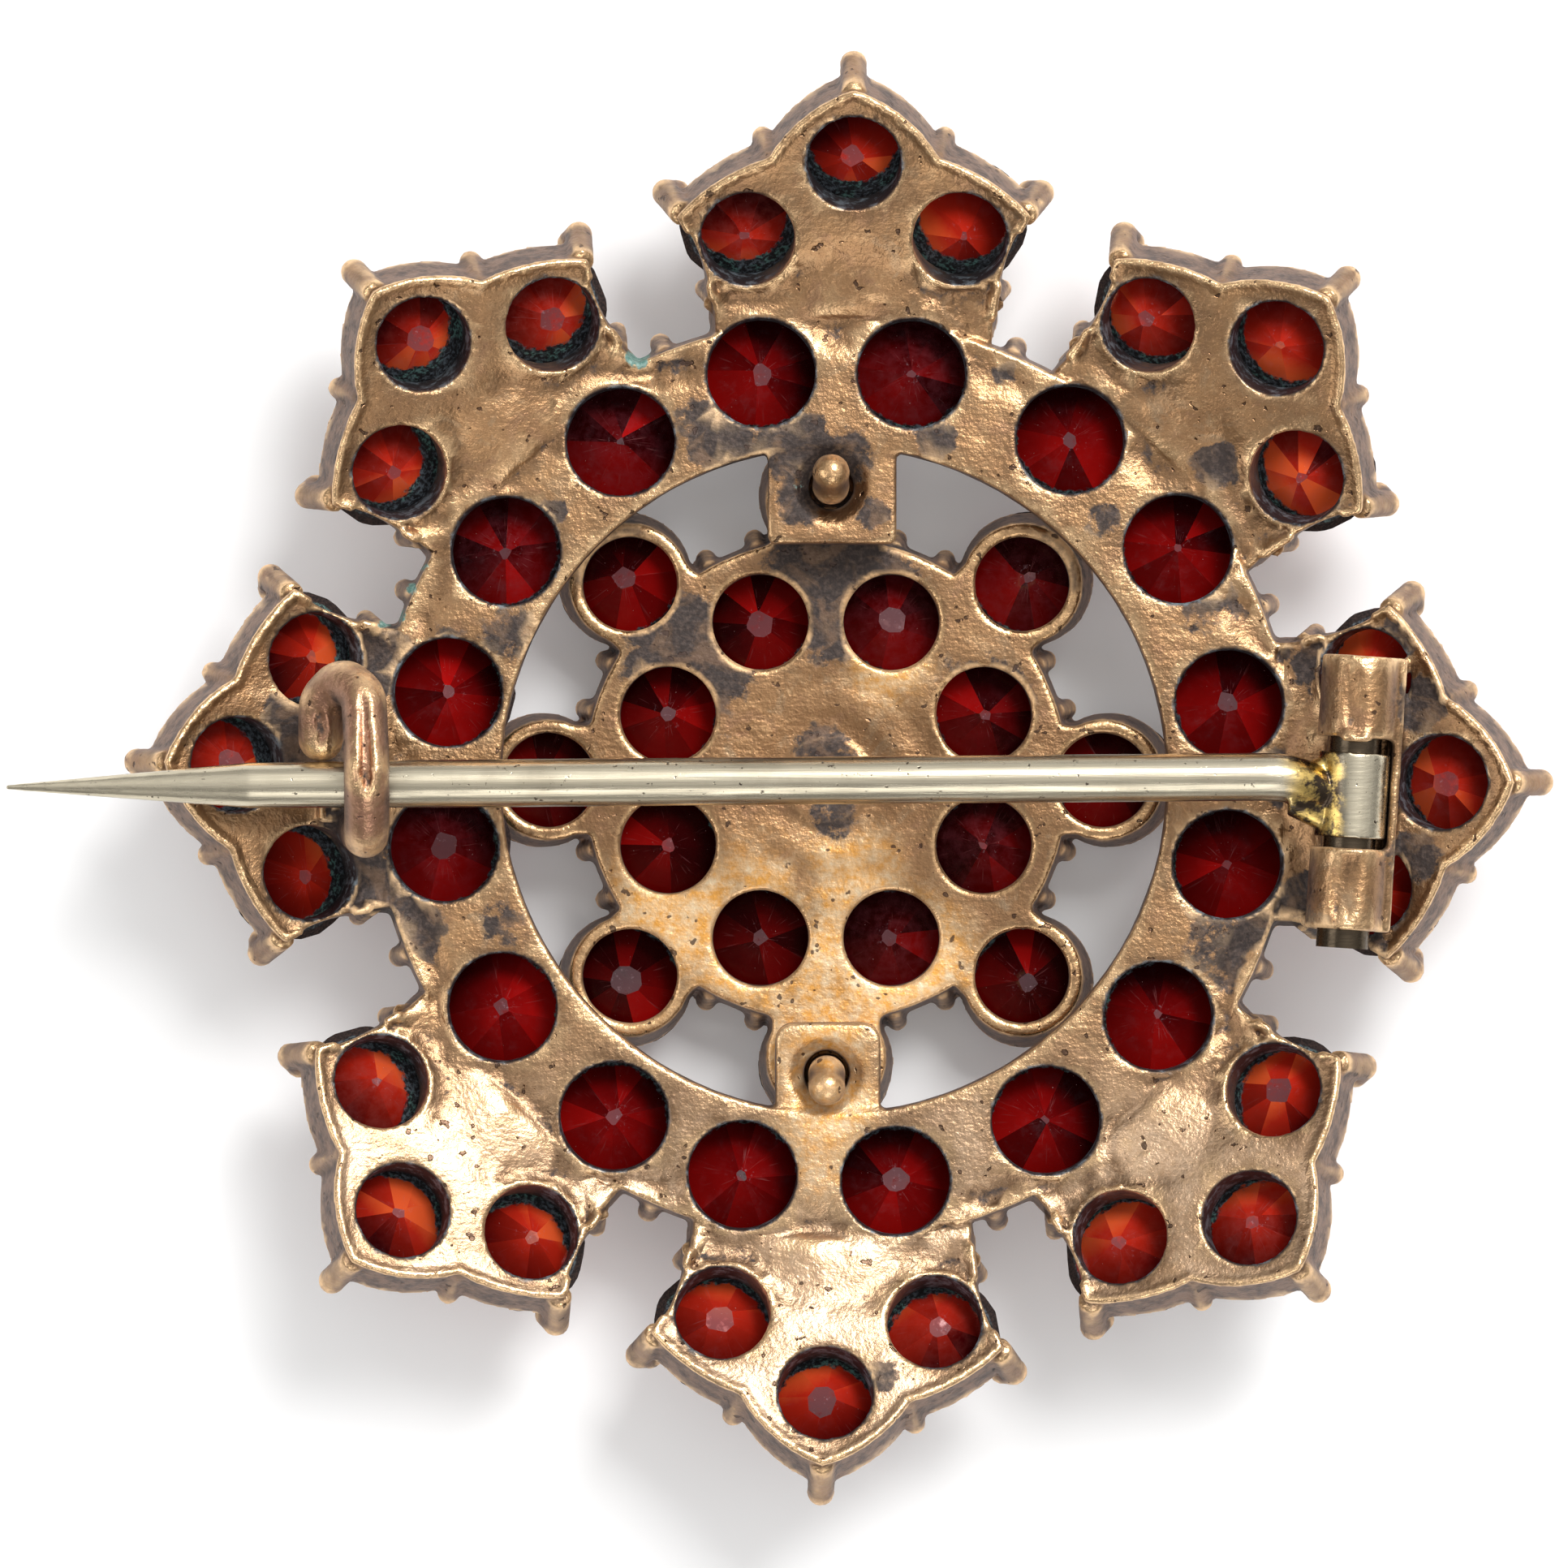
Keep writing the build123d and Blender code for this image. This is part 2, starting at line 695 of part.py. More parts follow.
# Inner star: a disc with eight point cups, a closed centre cup and two rivets
with BuildPart() as inner_star:
    with Locations((inner_star_shift, 0, inner_front)):
        Cone(
            inner_disc_radius + inner_wall_flare,
            inner_disc_radius,
            inner_depth,
            align=(Align.CENTER, Align.CENTER, Align.MIN),
        )
    for index in range(len(arms)):
        heading = index * arm_step
        front_middle = at_radius(point_stone_radius, heading, 0, inner_star_shift)
        back_middle = at_radius(point_hole_radius, heading, 0, inner_star_shift)
        with BuildSketch(Plane.XY.offset(inner_front)):
            with Locations(front_middle):
                Circle(point_cup_radius + point_cup_flare)
        with BuildSketch(Plane.XY.offset(inner_back)):
            with Locations(back_middle):
                Circle(point_cup_radius)
        loft(ruled=True)
        # The neck between the disc and the cup, a little wider at the front
        for level, flare in ((inner_front, point_neck_flare), (inner_back, 0.0)):
            middle = at_radius(
                (inner_stone_radius + point_hole_radius) / 2, heading, 0, inner_star_shift
            )
            with BuildSketch(Plane.XY.offset(level)):
                with Locations(Location(middle, (0, 0, 90 - heading))):
                    Rectangle(
                        point_hole_radius - inner_stone_radius,
                        point_neck_width + 2 * flare,
                    )
        loft(ruled=True)
    with Locations((inner_star_shift, 0, centre_wall_end)):
        Cylinder(
            centre_cup_radius,
            inner_front - centre_wall_end + inner_depth / 2,
            align=(Align.CENTER, Align.CENTER, Align.MIN),
        )
    # The dished middle of the back, with the end of the centre cup's stem
    with Locations((inner_star_shift, 0, inner_back)):
        Cone(
            back_dish_floor_radius,
            back_dish_radius,
            back_dish_depth,
            align=(Align.CENTER, Align.CENTER, Align.MAX),
            mode=Mode.SUBTRACT,
        )
    with Locations((inner_star_shift, 0, inner_back - boss_root)):
        Cylinder(
            boss_radius,
            boss_root + boss_height,
            align=(Align.CENTER, Align.CENTER, Align.MIN),
        )
    with Locations((inner_star_shift, 0, inner_back + boss_height)):
        Cone(
            boss_hollow_floor_radius,
            boss_hollow_radius,
            boss_hollow_depth,
            align=(Align.CENTER, Align.CENTER, Align.MAX),
            mode=Mode.SUBTRACT,
        )
    # Seats: the points under the two tabs are closed at the back, for the rivets
    inner_seat = make_seat(
        inner_stone_diameter, inner_pavilion, inner_stone_diameter / 2 - inner_ledge
    )
    with Locations(*[place.location for place in inner_places]):
        add(inner_seat, mode=Mode.SUBTRACT)
    tabbed_points = (0, len(arms) // 2)
    for blind in (False, True):
        places = [
            place
            for index, place in enumerate(point_places)
            if (index in tabbed_points) == blind
        ]
        point_seat = make_seat(
            point_stone_diameter,
            inner_pavilion,
            point_stone_diameter / 2 - point_ledge,
            (-point_lean, 0),
            blind,
        )
        with Locations(*[place.location for place in places]):
            add(point_seat, mode=Mode.SUBTRACT)
    centre_seat = make_seat(centre_stone_diameter, centre_pavilion, 0, blind=True)
    with Locations(centre_place.location):
        add(centre_seat, mode=Mode.SUBTRACT)
    add(inner_claws)
    # Rivets through the tabs, their ends bent outwards
    for tab in tabs:
        foot = Vector(tab.rivet_shift, tab.side * rivet_radius, inner_back - rivet_root)
        neck = Vector(foot.X, foot.Y, frame_back - tab.drop + rivet_stand)
        end = neck + Vector(0, tab.side * rivet_bend_run, rivet_bend_rise)
        add(make_claw(foot, neck, end, rivet_diameter / 2))

# Pin: the stem, its point and the knuckle that turns on the hinge pin
shank_end = catch_stem - stem_direction * (catch_wire_diameter / 2 + stem_shank_gap)
point_start = stem_point - stem_direction * stem_point_length
flange_end = hinge_middle - hinge_outward * stem_flange_start
with BuildPart() as pin_stem:
    with BuildLine():
        FilletPolyline(shank_end, stem_root, flange_end, radius=stem_bend_radius)
    with BuildSketch(Plane(origin=shank_end, z_dir=-stem_direction)):
        Circle(stem_radius)
    sweep()
    # It thins a little past the shank, and then runs to its point
    for start, end, start_diameter, end_diameter in (
        (shank_end, point_start, stem_diameter, stem_neck_diameter),
        (point_start, stem_point, stem_neck_diameter, stem_tip_diameter),
    ):
        with Locations(Plane(origin=start, z_dir=stem_direction).location):
            Cone(
                start_diameter / 2,
                end_diameter / 2,
                (end - start).length,
                align=(Align.CENTER, Align.CENTER, Align.MIN),
            )
    with Locations(hinge_plane.location):
        Cylinder(pin_knuckle_radius, 2 * pin_knuckle_half_length)
    # The solder that joins the stem to its knuckle
    with BuildSketch(hinge_side_plane(stem_flange_start)):
        RectangleRounded(stem_flange_width, stem_flange_height, stem_flange_corner)
    with BuildSketch(hinge_side_plane(stem_flange_reach)):
        Circle(stem_radius)
    loft(ruled=True)
    with Locations(hinge_plane.location):
        Cylinder(
            hinge_pin_diameter / 2 + hinge_running_play,
            4 * pin_knuckle_half_length,
            mode=Mode.SUBTRACT,
        )

# Hinge pin: a straight wire that stands proud of the lower knuckle
with BuildPart() as hinge_pin:
    with Locations(hinge_plane.location):
        with Locations((0, 0, lower_knuckle_end - hinge_pin_proud)):
            Cylinder(
                hinge_pin_diameter / 2,
                rail_length + hinge_pin_proud - hinge_pin_recess,
                align=(Align.CENTER, Align.CENTER, Align.MIN),
            )

for name, piece in (
    ("outer_frame", outer_frame),
    ("inner_star", inner_star),
    ("pin_stem", pin_stem),
    ("hinge_pin", hinge_pin),
):
    piece.part.label = name
    export_step(piece.part, f"parts/{name}.step")


def turned(place, index):
    """A stone's place, turned about its own axis so that no two stones look alike."""
    return place.location * Location((0, 0, 0), (0, 0, gem_turn_step * index))


# The stones, each of the outer frame's own, in a node of its own
for group, gem, places in (
    ("ring_stone", ring_gem, ring_places),
    ("tip_stone", tip_gem, tip_places),
    ("centre_stone", centre_gem, [centre_place]),
):
    for index, place in enumerate(places):
        name = group if len(places) == 1 else f"{group}_{index + 1:02d}"
        with BuildPart() as stone:
            with Locations(turned(place, index)):
                add(gem)
        stone.part.label = name
        export_step(stone.part, f"parts/{name}.step")

# The inner star's field of stones
with BuildPart() as inner_star_stones:
    for gem, places in ((inner_gem, inner_places), (point_gem, point_places)):
        for index, place in enumerate(places):
            with Locations(turned(place, index)):
                add(gem)
inner_star_stones.part.label = "inner_star_stones"
export_step(inner_star_stones.part, "parts/inner_star_stones.step")
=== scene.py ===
"""The garnet star brooch, face down on a pale table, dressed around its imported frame.

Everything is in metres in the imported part's own frame: +Z points out of the brooch's back,
+Y along the first arm, and the pin's point lies at -X. Sizes below that are written in
millimetres are turned to metres by the value mm.
"""

import math
import random
from collections import namedtuple

import bmesh
import bpy
import numpy as np
from mathutils import Matrix, Vector


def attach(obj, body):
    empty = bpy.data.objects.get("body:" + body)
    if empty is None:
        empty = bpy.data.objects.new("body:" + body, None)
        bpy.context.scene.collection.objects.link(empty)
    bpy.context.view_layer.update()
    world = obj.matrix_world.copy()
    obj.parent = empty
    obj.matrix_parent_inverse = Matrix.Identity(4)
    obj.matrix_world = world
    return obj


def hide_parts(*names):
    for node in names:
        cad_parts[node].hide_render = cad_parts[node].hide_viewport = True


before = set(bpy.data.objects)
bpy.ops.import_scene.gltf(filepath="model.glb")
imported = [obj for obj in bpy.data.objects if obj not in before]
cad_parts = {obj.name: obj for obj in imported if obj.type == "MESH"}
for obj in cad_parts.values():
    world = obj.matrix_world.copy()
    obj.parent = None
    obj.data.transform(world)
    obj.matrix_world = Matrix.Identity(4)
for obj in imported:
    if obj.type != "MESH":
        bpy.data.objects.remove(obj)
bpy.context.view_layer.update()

mm = 0.001

# The stones' names, by tier
ring_names = sorted(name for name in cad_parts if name.startswith("ring_stone"))
tip_names = sorted(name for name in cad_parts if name.startswith("tip_stone"))

# How far each tier's metal ledge reaches over its stones' girdles
ledges = {"ring": 0.3 * mm, "tip": 0.455 * mm}

# The photograph's view: straight down on the back, its frame's width and middle
view_width = 38.97 * mm
view_middle = (-1.25 * mm, -0.10 * mm)
view_level = 4.6 * mm
camera_distance = 280 * mm
sensor_width = 36.0

# Remeshing of the cast metal: how fine, and how many triangles stay
voxel = 0.075 * mm
star_triangles = 190000
inner_triangles = 120000
stem_voxel = 0.045 * mm
stem_triangles = 60000
cast_unevenness = 0.03 * mm
stem_unevenness = 0.008 * mm

# The rolled bead along the arms' edges: its radius, the level that it starts from, and how
# far inside the arms' bend it still runs
ridge_radius = 0.12 * mm
ridge_level = 4.3 * mm
ridge_inside = 1.6 * mm

# The soft bend of the arms lies between these two distances inside the tips' stones
bend_start = 3.2 * mm
bend_end = 0.4 * mm

# The worn dish in the middle of the inner star
dish_reach = 2.9 * mm
dish_depth = 0.16 * mm

# The gilt metal's other tones: the catch's wire is above this soft level and left of this
# soft line, and the lower arms grow paler between these two lines, as a painted highlight
catch_level = (6.3 * mm, 6.8 * mm)
catch_side = (-9.4 * mm, -9.9 * mm)
pale_side = (-5.0 * mm, -10.0 * mm)

# Solder covers the stem's root between these two soft ends
solder_start = (10.9 * mm, 11.6 * mm)
solder_end = (12.7 * mm, 12.35 * mm)

# The cast skin's finest pattern, in waves to a metre, and the size of its slow unevenness
grain_scale = 8500.0
cloud_size = 1.1 * mm

# Where the gilt metal is worn, walled, pierced, stained or tinted, and where shade, highlight and glare
# are painted on it
wear_masks = ("edge", "wall", "socket", "shade", "tarnish", "green", "glow", "rose", "pale")


# Selecting and shaping


def deselect():
    """Nothing is selected and no object is in edit mode."""
    if bpy.context.object and bpy.context.object.mode != "OBJECT":
        bpy.ops.object.mode_set(mode="OBJECT")
    bpy.ops.object.select_all(action="DESELECT")


def pick(*objects):
    """Only these objects are selected, and the first one is active."""
    deselect()
    for piece in objects:
        piece.select_set(True)
    bpy.context.view_layer.objects.active = objects[0]
    return objects[0]


def settle(piece):
    """The piece's place goes into its mesh, and its object stands at the origin."""
    pick(piece)
    bpy.ops.object.transform_apply(location=True, rotation=True, scale=True)
    return piece


def apply_modifier(piece, kind, **values):
    """Adds a modifier with these values and applies it."""
    pick(piece)
    modifier = piece.modifiers.new(kind.lower(), kind)
    for key, value in values.items():
        setattr(modifier, key, value)
    bpy.ops.object.modifier_apply(modifier=modifier.name)
    return piece


def joined(name, pieces):
    """One object of several."""
    pick(*pieces)
    if len(pieces) > 1:
        bpy.ops.object.join()
    piece = bpy.context.object
    piece.name = name
    piece.data.name = name
    return piece


def copy_of(node, name):
    """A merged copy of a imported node's mesh, as an object of its own."""
    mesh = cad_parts[node].data.copy()
    mesh.materials.clear()
    piece = bpy.data.objects.new(name, mesh)
    bpy.context.scene.collection.objects.link(piece)
    pick(piece)
    bpy.ops.object.mode_set(mode="EDIT")
    bpy.ops.mesh.select_all(action="SELECT")
    bpy.ops.mesh.remove_doubles(threshold=0.0005 * mm)
    bpy.ops.mesh.normals_make_consistent(inside=False)
    bpy.ops.object.mode_set(mode="OBJECT")
    return piece


def points_of(piece):
    """The vertices' places as rows of numbers."""
    places = np.empty(len(piece.data.vertices) * 3)
    piece.data.vertices.foreach_get("co", places)
    return places.reshape(-1, 3)


def normals_of(piece):
    """The vertices' normals as rows of numbers."""
    normals = np.empty(len(piece.data.vertices) * 3)
    piece.data.vertices.foreach_get("normal", normals)
    return normals.reshape(-1, 3)


def write_mask(piece, name, values):
    """A number for each vertex, which a material reads by its name."""
    layer = piece.data.attributes.new(name, "FLOAT", "POINT")
    layer.data.foreach_set("value", np.asarray(values, dtype=np.float32))


def smoothstep(low, high, values):
    """0 below low, 1 above high and a soft step between them."""
    share = np.clip((values - low) / (high - low), 0.0, 1.0)
    return share * share * (3 - 2 * share)


# Node trees


def add_node(tree, kind, inputs=None, **settings):
    """A node of a tree, with its settings and the values or links of its inputs."""
    made = tree.nodes.new(kind)
    for key, value in settings.items():
        setattr(made, key, value)
    for key, value in (inputs or {}).items():
        if isinstance(value, bpy.types.NodeSocket):
            tree.links.new(value, made.inputs[key])
        else:
            made.inputs[key].default_value = value
    return made


def mixed(tree, share, first, second):
    """The colour between two colours."""
    values = {0: share, 6: first, 7: second}
    return add_node(tree, "ShaderNodeMix", values, data_type="RGBA").outputs[2]


def math_of(tree, operation, first, second=0.0, clamp=False):
    """The result of one operation on two values."""
    made = add_node(tree, "ShaderNodeMath", {0: first, 1: second}, operation=operation)
    made.use_clamp = clamp
    return made.outputs[0]


def arrow_math(tree, operation, first, second=(0, 0, 0)):
    """The result of one operation on two vectors: a number for a length or a dot product."""
    made = add_node(tree, "ShaderNodeVectorMath", {0: first, 1: second}, operation=operation)
    return made.outputs["Value" if operation in ("LENGTH", "DOT_PRODUCT") else "Vector"]


def stepped(tree, value, low, high):
    """A value spread from 0 at low to 1 at high."""
    made = add_node(
        tree, "ShaderNodeMapRange", {"Value": value, "From Min": low, "From Max": high}
    )
    return made.outputs[0]


def noise_of(tree, vector, scale, detail=4.0, roughness=0.55, distortion=0.0):
    """A cloudy pattern, its scale in waves to a metre."""
    made = add_node(
        tree,
        "ShaderNodeTexNoise",
        {
            "Vector": vector,
            "Scale": scale,
            "Detail": detail,
            "Roughness": roughness,
            "Distortion": distortion,
        },
    )
    return made.outputs["Fac"]


def written(tree, name, output="Fac"):
    """A value, or a vector, that is written in the piece's mesh by its name."""
    return add_node(
        tree, "ShaderNodeAttribute", attribute_type="GEOMETRY", attribute_name=name
    ).outputs[output]


def new_group(name, inputs, outputs):
    """A shader node group with its named sockets, and its two end nodes."""
    group = bpy.data.node_groups.new(name, "ShaderNodeTree")
    for key, kind in inputs.items():
        group.interface.new_socket(key, in_out="INPUT", socket_type=kind)
    for key, kind in outputs.items():
        group.interface.new_socket(key, in_out="OUTPUT", socket_type=kind)
    return group, group.nodes.new("NodeGroupInput"), group.nodes.new("NodeGroupOutput")


def place_group(tree, group, inputs):
    """A group in a material, with its own values."""
    return add_node(tree, "ShaderNodeGroup", inputs, node_tree=group).outputs


number = "NodeSocketFloat"
colour = "NodeSocketColor"
arrow = "NodeSocketVector"


def make_grain_group():
    """The fine hammered and pickled skin of old cast metal: its height and its pits."""
    group, start, end = new_group(
        "metal_grain", {"Vector": arrow}, {"Height": number, "Pit": number}
    )
    vector = start.outputs["Vector"]
    fine = noise_of(group, vector, grain_scale, 3.0, 0.6)
    coarse = noise_of(group, vector, 0.16 * grain_scale, 3.0, 0.5)
    pit = stepped(group, noise_of(group, vector, 0.36 * grain_scale, 2.0, 0.5), 0.68, 0.715)
    height = math_of(group, "ADD", math_of(group, "MULTIPLY", fine, 0.45), coarse)
    height = math_of(group, "SUBTRACT", height, math_of(group, "MULTIPLY", pit, 0.7))
    group.links.new(height, end.inputs["Height"])
    group.links.new(pit, end.inputs["Pit"])
    return group


def make_patina_group():
    """Old gilding: worn bright edges, dull walls, dark tarnish and green corrosion, with painted shade,
    painted highlights and painted glare.
    """
    inputs = {"Vector": arrow, "Metal": colour, "Worn": colour, "Wall": colour, "Pit": number}
    inputs.update({f"{name} mask": number for name in wear_masks})
    outputs = {"Colour": colour, "Roughness": number, "Metal share": number}
    group, start, end = new_group("gilt_patina", inputs, outputs)
    sockets = start.outputs
    vector = sockets["Vector"]
    cloud = noise_of(group, vector, 380.0, 6.0, 0.6)
    speckle = noise_of(group, vector, 2600.0, 5.0, 0.7)
    flecks = noise_of(group, vector, 8000.0, 3.0, 0.6)
    brown = mixed(group, 0.6, sockets["Metal"], (0.25, 0.135, 0.07, 1))
    base = mixed(group, stepped(group, cloud, 0.36, 0.66), sockets["Metal"], brown)
    patches = noise_of(group, vector, 1100.0, 5.0, 0.62, 0.8)
    base = mixed(
        group,
        math_of(group, "MULTIPLY", stepped(group, patches, 0.54, 0.68), 0.55),
        base,
        (0.34, 0.185, 0.115, 1),
    )
    base = mixed(
        group,
        math_of(group, "MULTIPLY", stepped(group, patches, 0.44, 0.3), 0.5),
        base,
        (0.42, 0.33, 0.22, 1),
    )
    # The lower arms are painted paler, a painted highlight, and the catch's wire is rose brown
    pale = math_of(group, "MULTIPLY", sockets["pale mask"], stepped(group, cloud, 0.8, 0.35))
    base = mixed(group, pale, base, (0.82, 0.61, 0.43, 1))
    rose = mixed(group, cloud, (0.66, 0.36, 0.24, 1), (0.34, 0.17, 0.11, 1))
    base = mixed(group, sockets["rose mask"], base, rose)
    bright = math_of(group, "MULTIPLY", stepped(group, speckle, 0.5, 0.75), 0.4)
    base = mixed(group, bright, base, sockets["Worn"])
    dull = math_of(group, "MULTIPLY", stepped(group, flecks, 0.6, 0.42), 0.28)
    base = mixed(group, dull, base, brown)
    # Painted shade: darker brown round the holes, in hollows and near the walls
    shade = math_of(group, "MULTIPLY", sockets["shade mask"], stepped(group, speckle, 0.2, 0.55))
    base = mixed(group, math_of(group, "MULTIPLY", shade, 0.88), base, (0.2, 0.115, 0.062, 1))
    # Orange and white gold glare: a painted highlight on the metal
    fire = mixed(
        group, stepped(group, speckle, 0.38, 0.72), (0.9, 0.42, 0.08, 1), (1.0, 0.84, 0.58, 1)
    )
    glow = math_of(
        group, "MULTIPLY", sockets["glow mask"], stepped(group, cloud, 0.34, 0.5), clamp=True
    )
    base = mixed(group, glow, base, fire)
    wall = mixed(group, stepped(group, speckle, 0.42, 0.62), sockets["Wall"], (0.09, 0.06, 0.05, 1))
    base = mixed(group, sockets["wall mask"], base, wall)
    # Tarnish comes in islands with ragged edges
    ragged = math_of(group, "MULTIPLY", cloud, 0.5)
    ragged = math_of(group, "ADD", ragged, math_of(group, "MULTIPLY", speckle, 0.7))
    ragged = math_of(
        group, "ADD", ragged, math_of(group, "MULTIPLY", sockets["tarnish mask"], 0.6)
    )
    tarnish = stepped(group, ragged, 0.86, 0.95)
    dark = mixed(
        group, stepped(group, flecks, 0.45, 0.7), (0.03, 0.022, 0.021, 1), (0.09, 0.063, 0.053, 1)
    )
    thin = math_of(group, "MULTIPLY", stepped(group, patches, 0.5, 0.62), 0.3)
    cover = math_of(group, "SUBTRACT", 0.97, thin)
    base = mixed(group, math_of(group, "MULTIPLY", tarnish, cover), base, dark)
    # Bright edges: rubbed gilding, and along the bead a painted highlight too
    edge = math_of(
        group,
        "MULTIPLY",
        sockets["edge mask"],
        stepped(group, speckle, 0.28, 0.55),
        clamp=True,
    )
    base = mixed(group, edge, base, sockets["Worn"])
    crusted = mixed(
        group, stepped(group, speckle, 0.5, 0.62), (0.035, 0.03, 0.032, 1), (0.2, 0.24, 0.27, 1)
    )
    base = mixed(group, sockets["socket mask"], base, crusted)
    pitted = math_of(group, "MULTIPLY", sockets["Pit"], 0.85)
    base = mixed(group, pitted, base, (0.07, 0.04, 0.03, 1))
    crust = math_of(group, "MULTIPLY", speckle, 0.8)
    crust = math_of(group, "ADD", crust, math_of(group, "MULTIPLY", sockets["green mask"], 0.6))
    crust = stepped(group, crust, 0.84, 0.94)
    green = mixed(
        group, stepped(group, flecks, 0.4, 0.65), (0.09, 0.2, 0.17, 1), (0.3, 0.44, 0.39, 1)
    )
    base = mixed(group, crust, base, green)
    matt = math_of(group, "MAXIMUM", sockets["wall mask"], sockets["socket mask"])
    rough = math_of(group, "ADD", 0.34, math_of(group, "MULTIPLY", tarnish, 0.22))
    rough = math_of(group, "ADD", rough, math_of(group, "MULTIPLY", matt, 0.2))
    rough = math_of(group, "ADD", rough, math_of(group, "MULTIPLY", crust, 0.4))
    rough = math_of(group, "SUBTRACT", rough, math_of(group, "MULTIPLY", edge, 0.1))
    shine = math_of(group, "SUBTRACT", 1.0, math_of(group, "MULTIPLY", tarnish, 0.6))
    shine = math_of(group, "SUBTRACT", shine, math_of(group, "MULTIPLY", matt, 0.45))
    shine = math_of(group, "SUBTRACT", shine, math_of(group, "MULTIPLY", glow, 0.5))
    shine = math_of(group, "SUBTRACT", shine, crust, clamp=True)
    group.links.new(base, end.inputs["Colour"])
    group.links.new(rough, end.inputs["Roughness"])
    group.links.new(shine, end.inputs["Metal share"])
    return group


def make_scratch_group():
    """Fine scratches along one way, as a mask from 0 to 1."""
    group, start, end = new_group(
        "fine_scratches",
        {"Vector": arrow, "Stretch": arrow},
        {"Scratch": number},
    )
    stretched = arrow_math(group, "MULTIPLY", start.outputs["Vector"], start.outputs["Stretch"])
    lines = noise_of(group, stretched, 1.0, 3.0, 0.6)
    group.links.new(stepped(group, lines, 0.35, 0.75), end.inputs["Scratch"])
    return group


grain_group = make_grain_group()
patina_group = make_patina_group()
scratch_group = make_scratch_group()


def new_material(name):
    """A material with its surface shader, its tree and Object coordinates."""
    material = bpy.data.materials.new(name)
    material.use_nodes = True
    tree = material.node_tree
    surface = tree.nodes["Principled BSDF"]
    vector = add_node(tree, "ShaderNodeTexCoord").outputs["Object"]
    return material, tree, surface, vector


def gilt_material(name, metal, worn, wall, bump):
    """Old gilt metal in this piece's own tones, with painted shade and painted highlights."""
    material, tree, surface, vector = new_material(name)
    grain = place_group(tree, grain_group, {"Vector": vector})
    brushed = place_group(
        tree, scratch_group, {"Vector": vector, "Stretch": (900, 4200, 900)}
    )
    inputs = {"Vector": vector, "Metal": metal, "Worn": worn, "Wall": wall, "Pit": grain["Pit"]}
    inputs.update({f"{name} mask": written(tree, name) for name in wear_masks})
    patina = place_group(tree, patina_group, inputs)
    height = math_of(tree, "ADD", grain["Height"], math_of(tree, "MULTIPLY", brushed["Scratch"], 0.12))
    relief = add_node(
        tree,
        "ShaderNodeBump",
        {"Height": height, "Strength": bump, "Distance": 0.08 * mm},
    )
    tree.links.new(patina["Colour"], surface.inputs["Base Color"])
    tree.links.new(patina["Roughness"], surface.inputs["Roughness"])
    tree.links.new(patina["Metal share"], surface.inputs["Metallic"])
    tree.links.new(relief.outputs[0], surface.inputs["Normal"])
    return material


def crust_of(tree, vector, wear):
    """Where old dirt sits in the hole, on the side towards the star's middle, and its tone."""
    flat = arrow_math(tree, "MULTIPLY", written(tree, "bearing", "Vector"), (1, 1, 0))
    shifted = arrow_math(tree, "SUBTRACT", flat, (0.09, 0, 0))
    reach = arrow_math(tree, "LENGTH", shifted)
    reach = math_of(tree, "ADD", reach, math_of(tree, "MULTIPLY", wear, 0.22))
    reach = math_of(tree, "ADD", reach, math_of(tree, "MULTIPLY", written(tree, "crust"), 0.1))
    share = stepped(tree, reach, 0.855, 0.885)
    flecks = noise_of(tree, vector, 9000.0, 4.0, 0.7)
    islands = noise_of(tree, vector, 1500.0, 3.0, 0.6)
    tone = mixed(tree, stepped(tree, islands, 0.5, 0.6), (0.1, 0.12, 0.14, 1), (0.1, 0.2, 0.18, 1))
    tone = mixed(tree, stepped(tree, flecks, 0.47, 0.6), (0.012, 0.011, 0.013, 1), tone)
    return share, tone


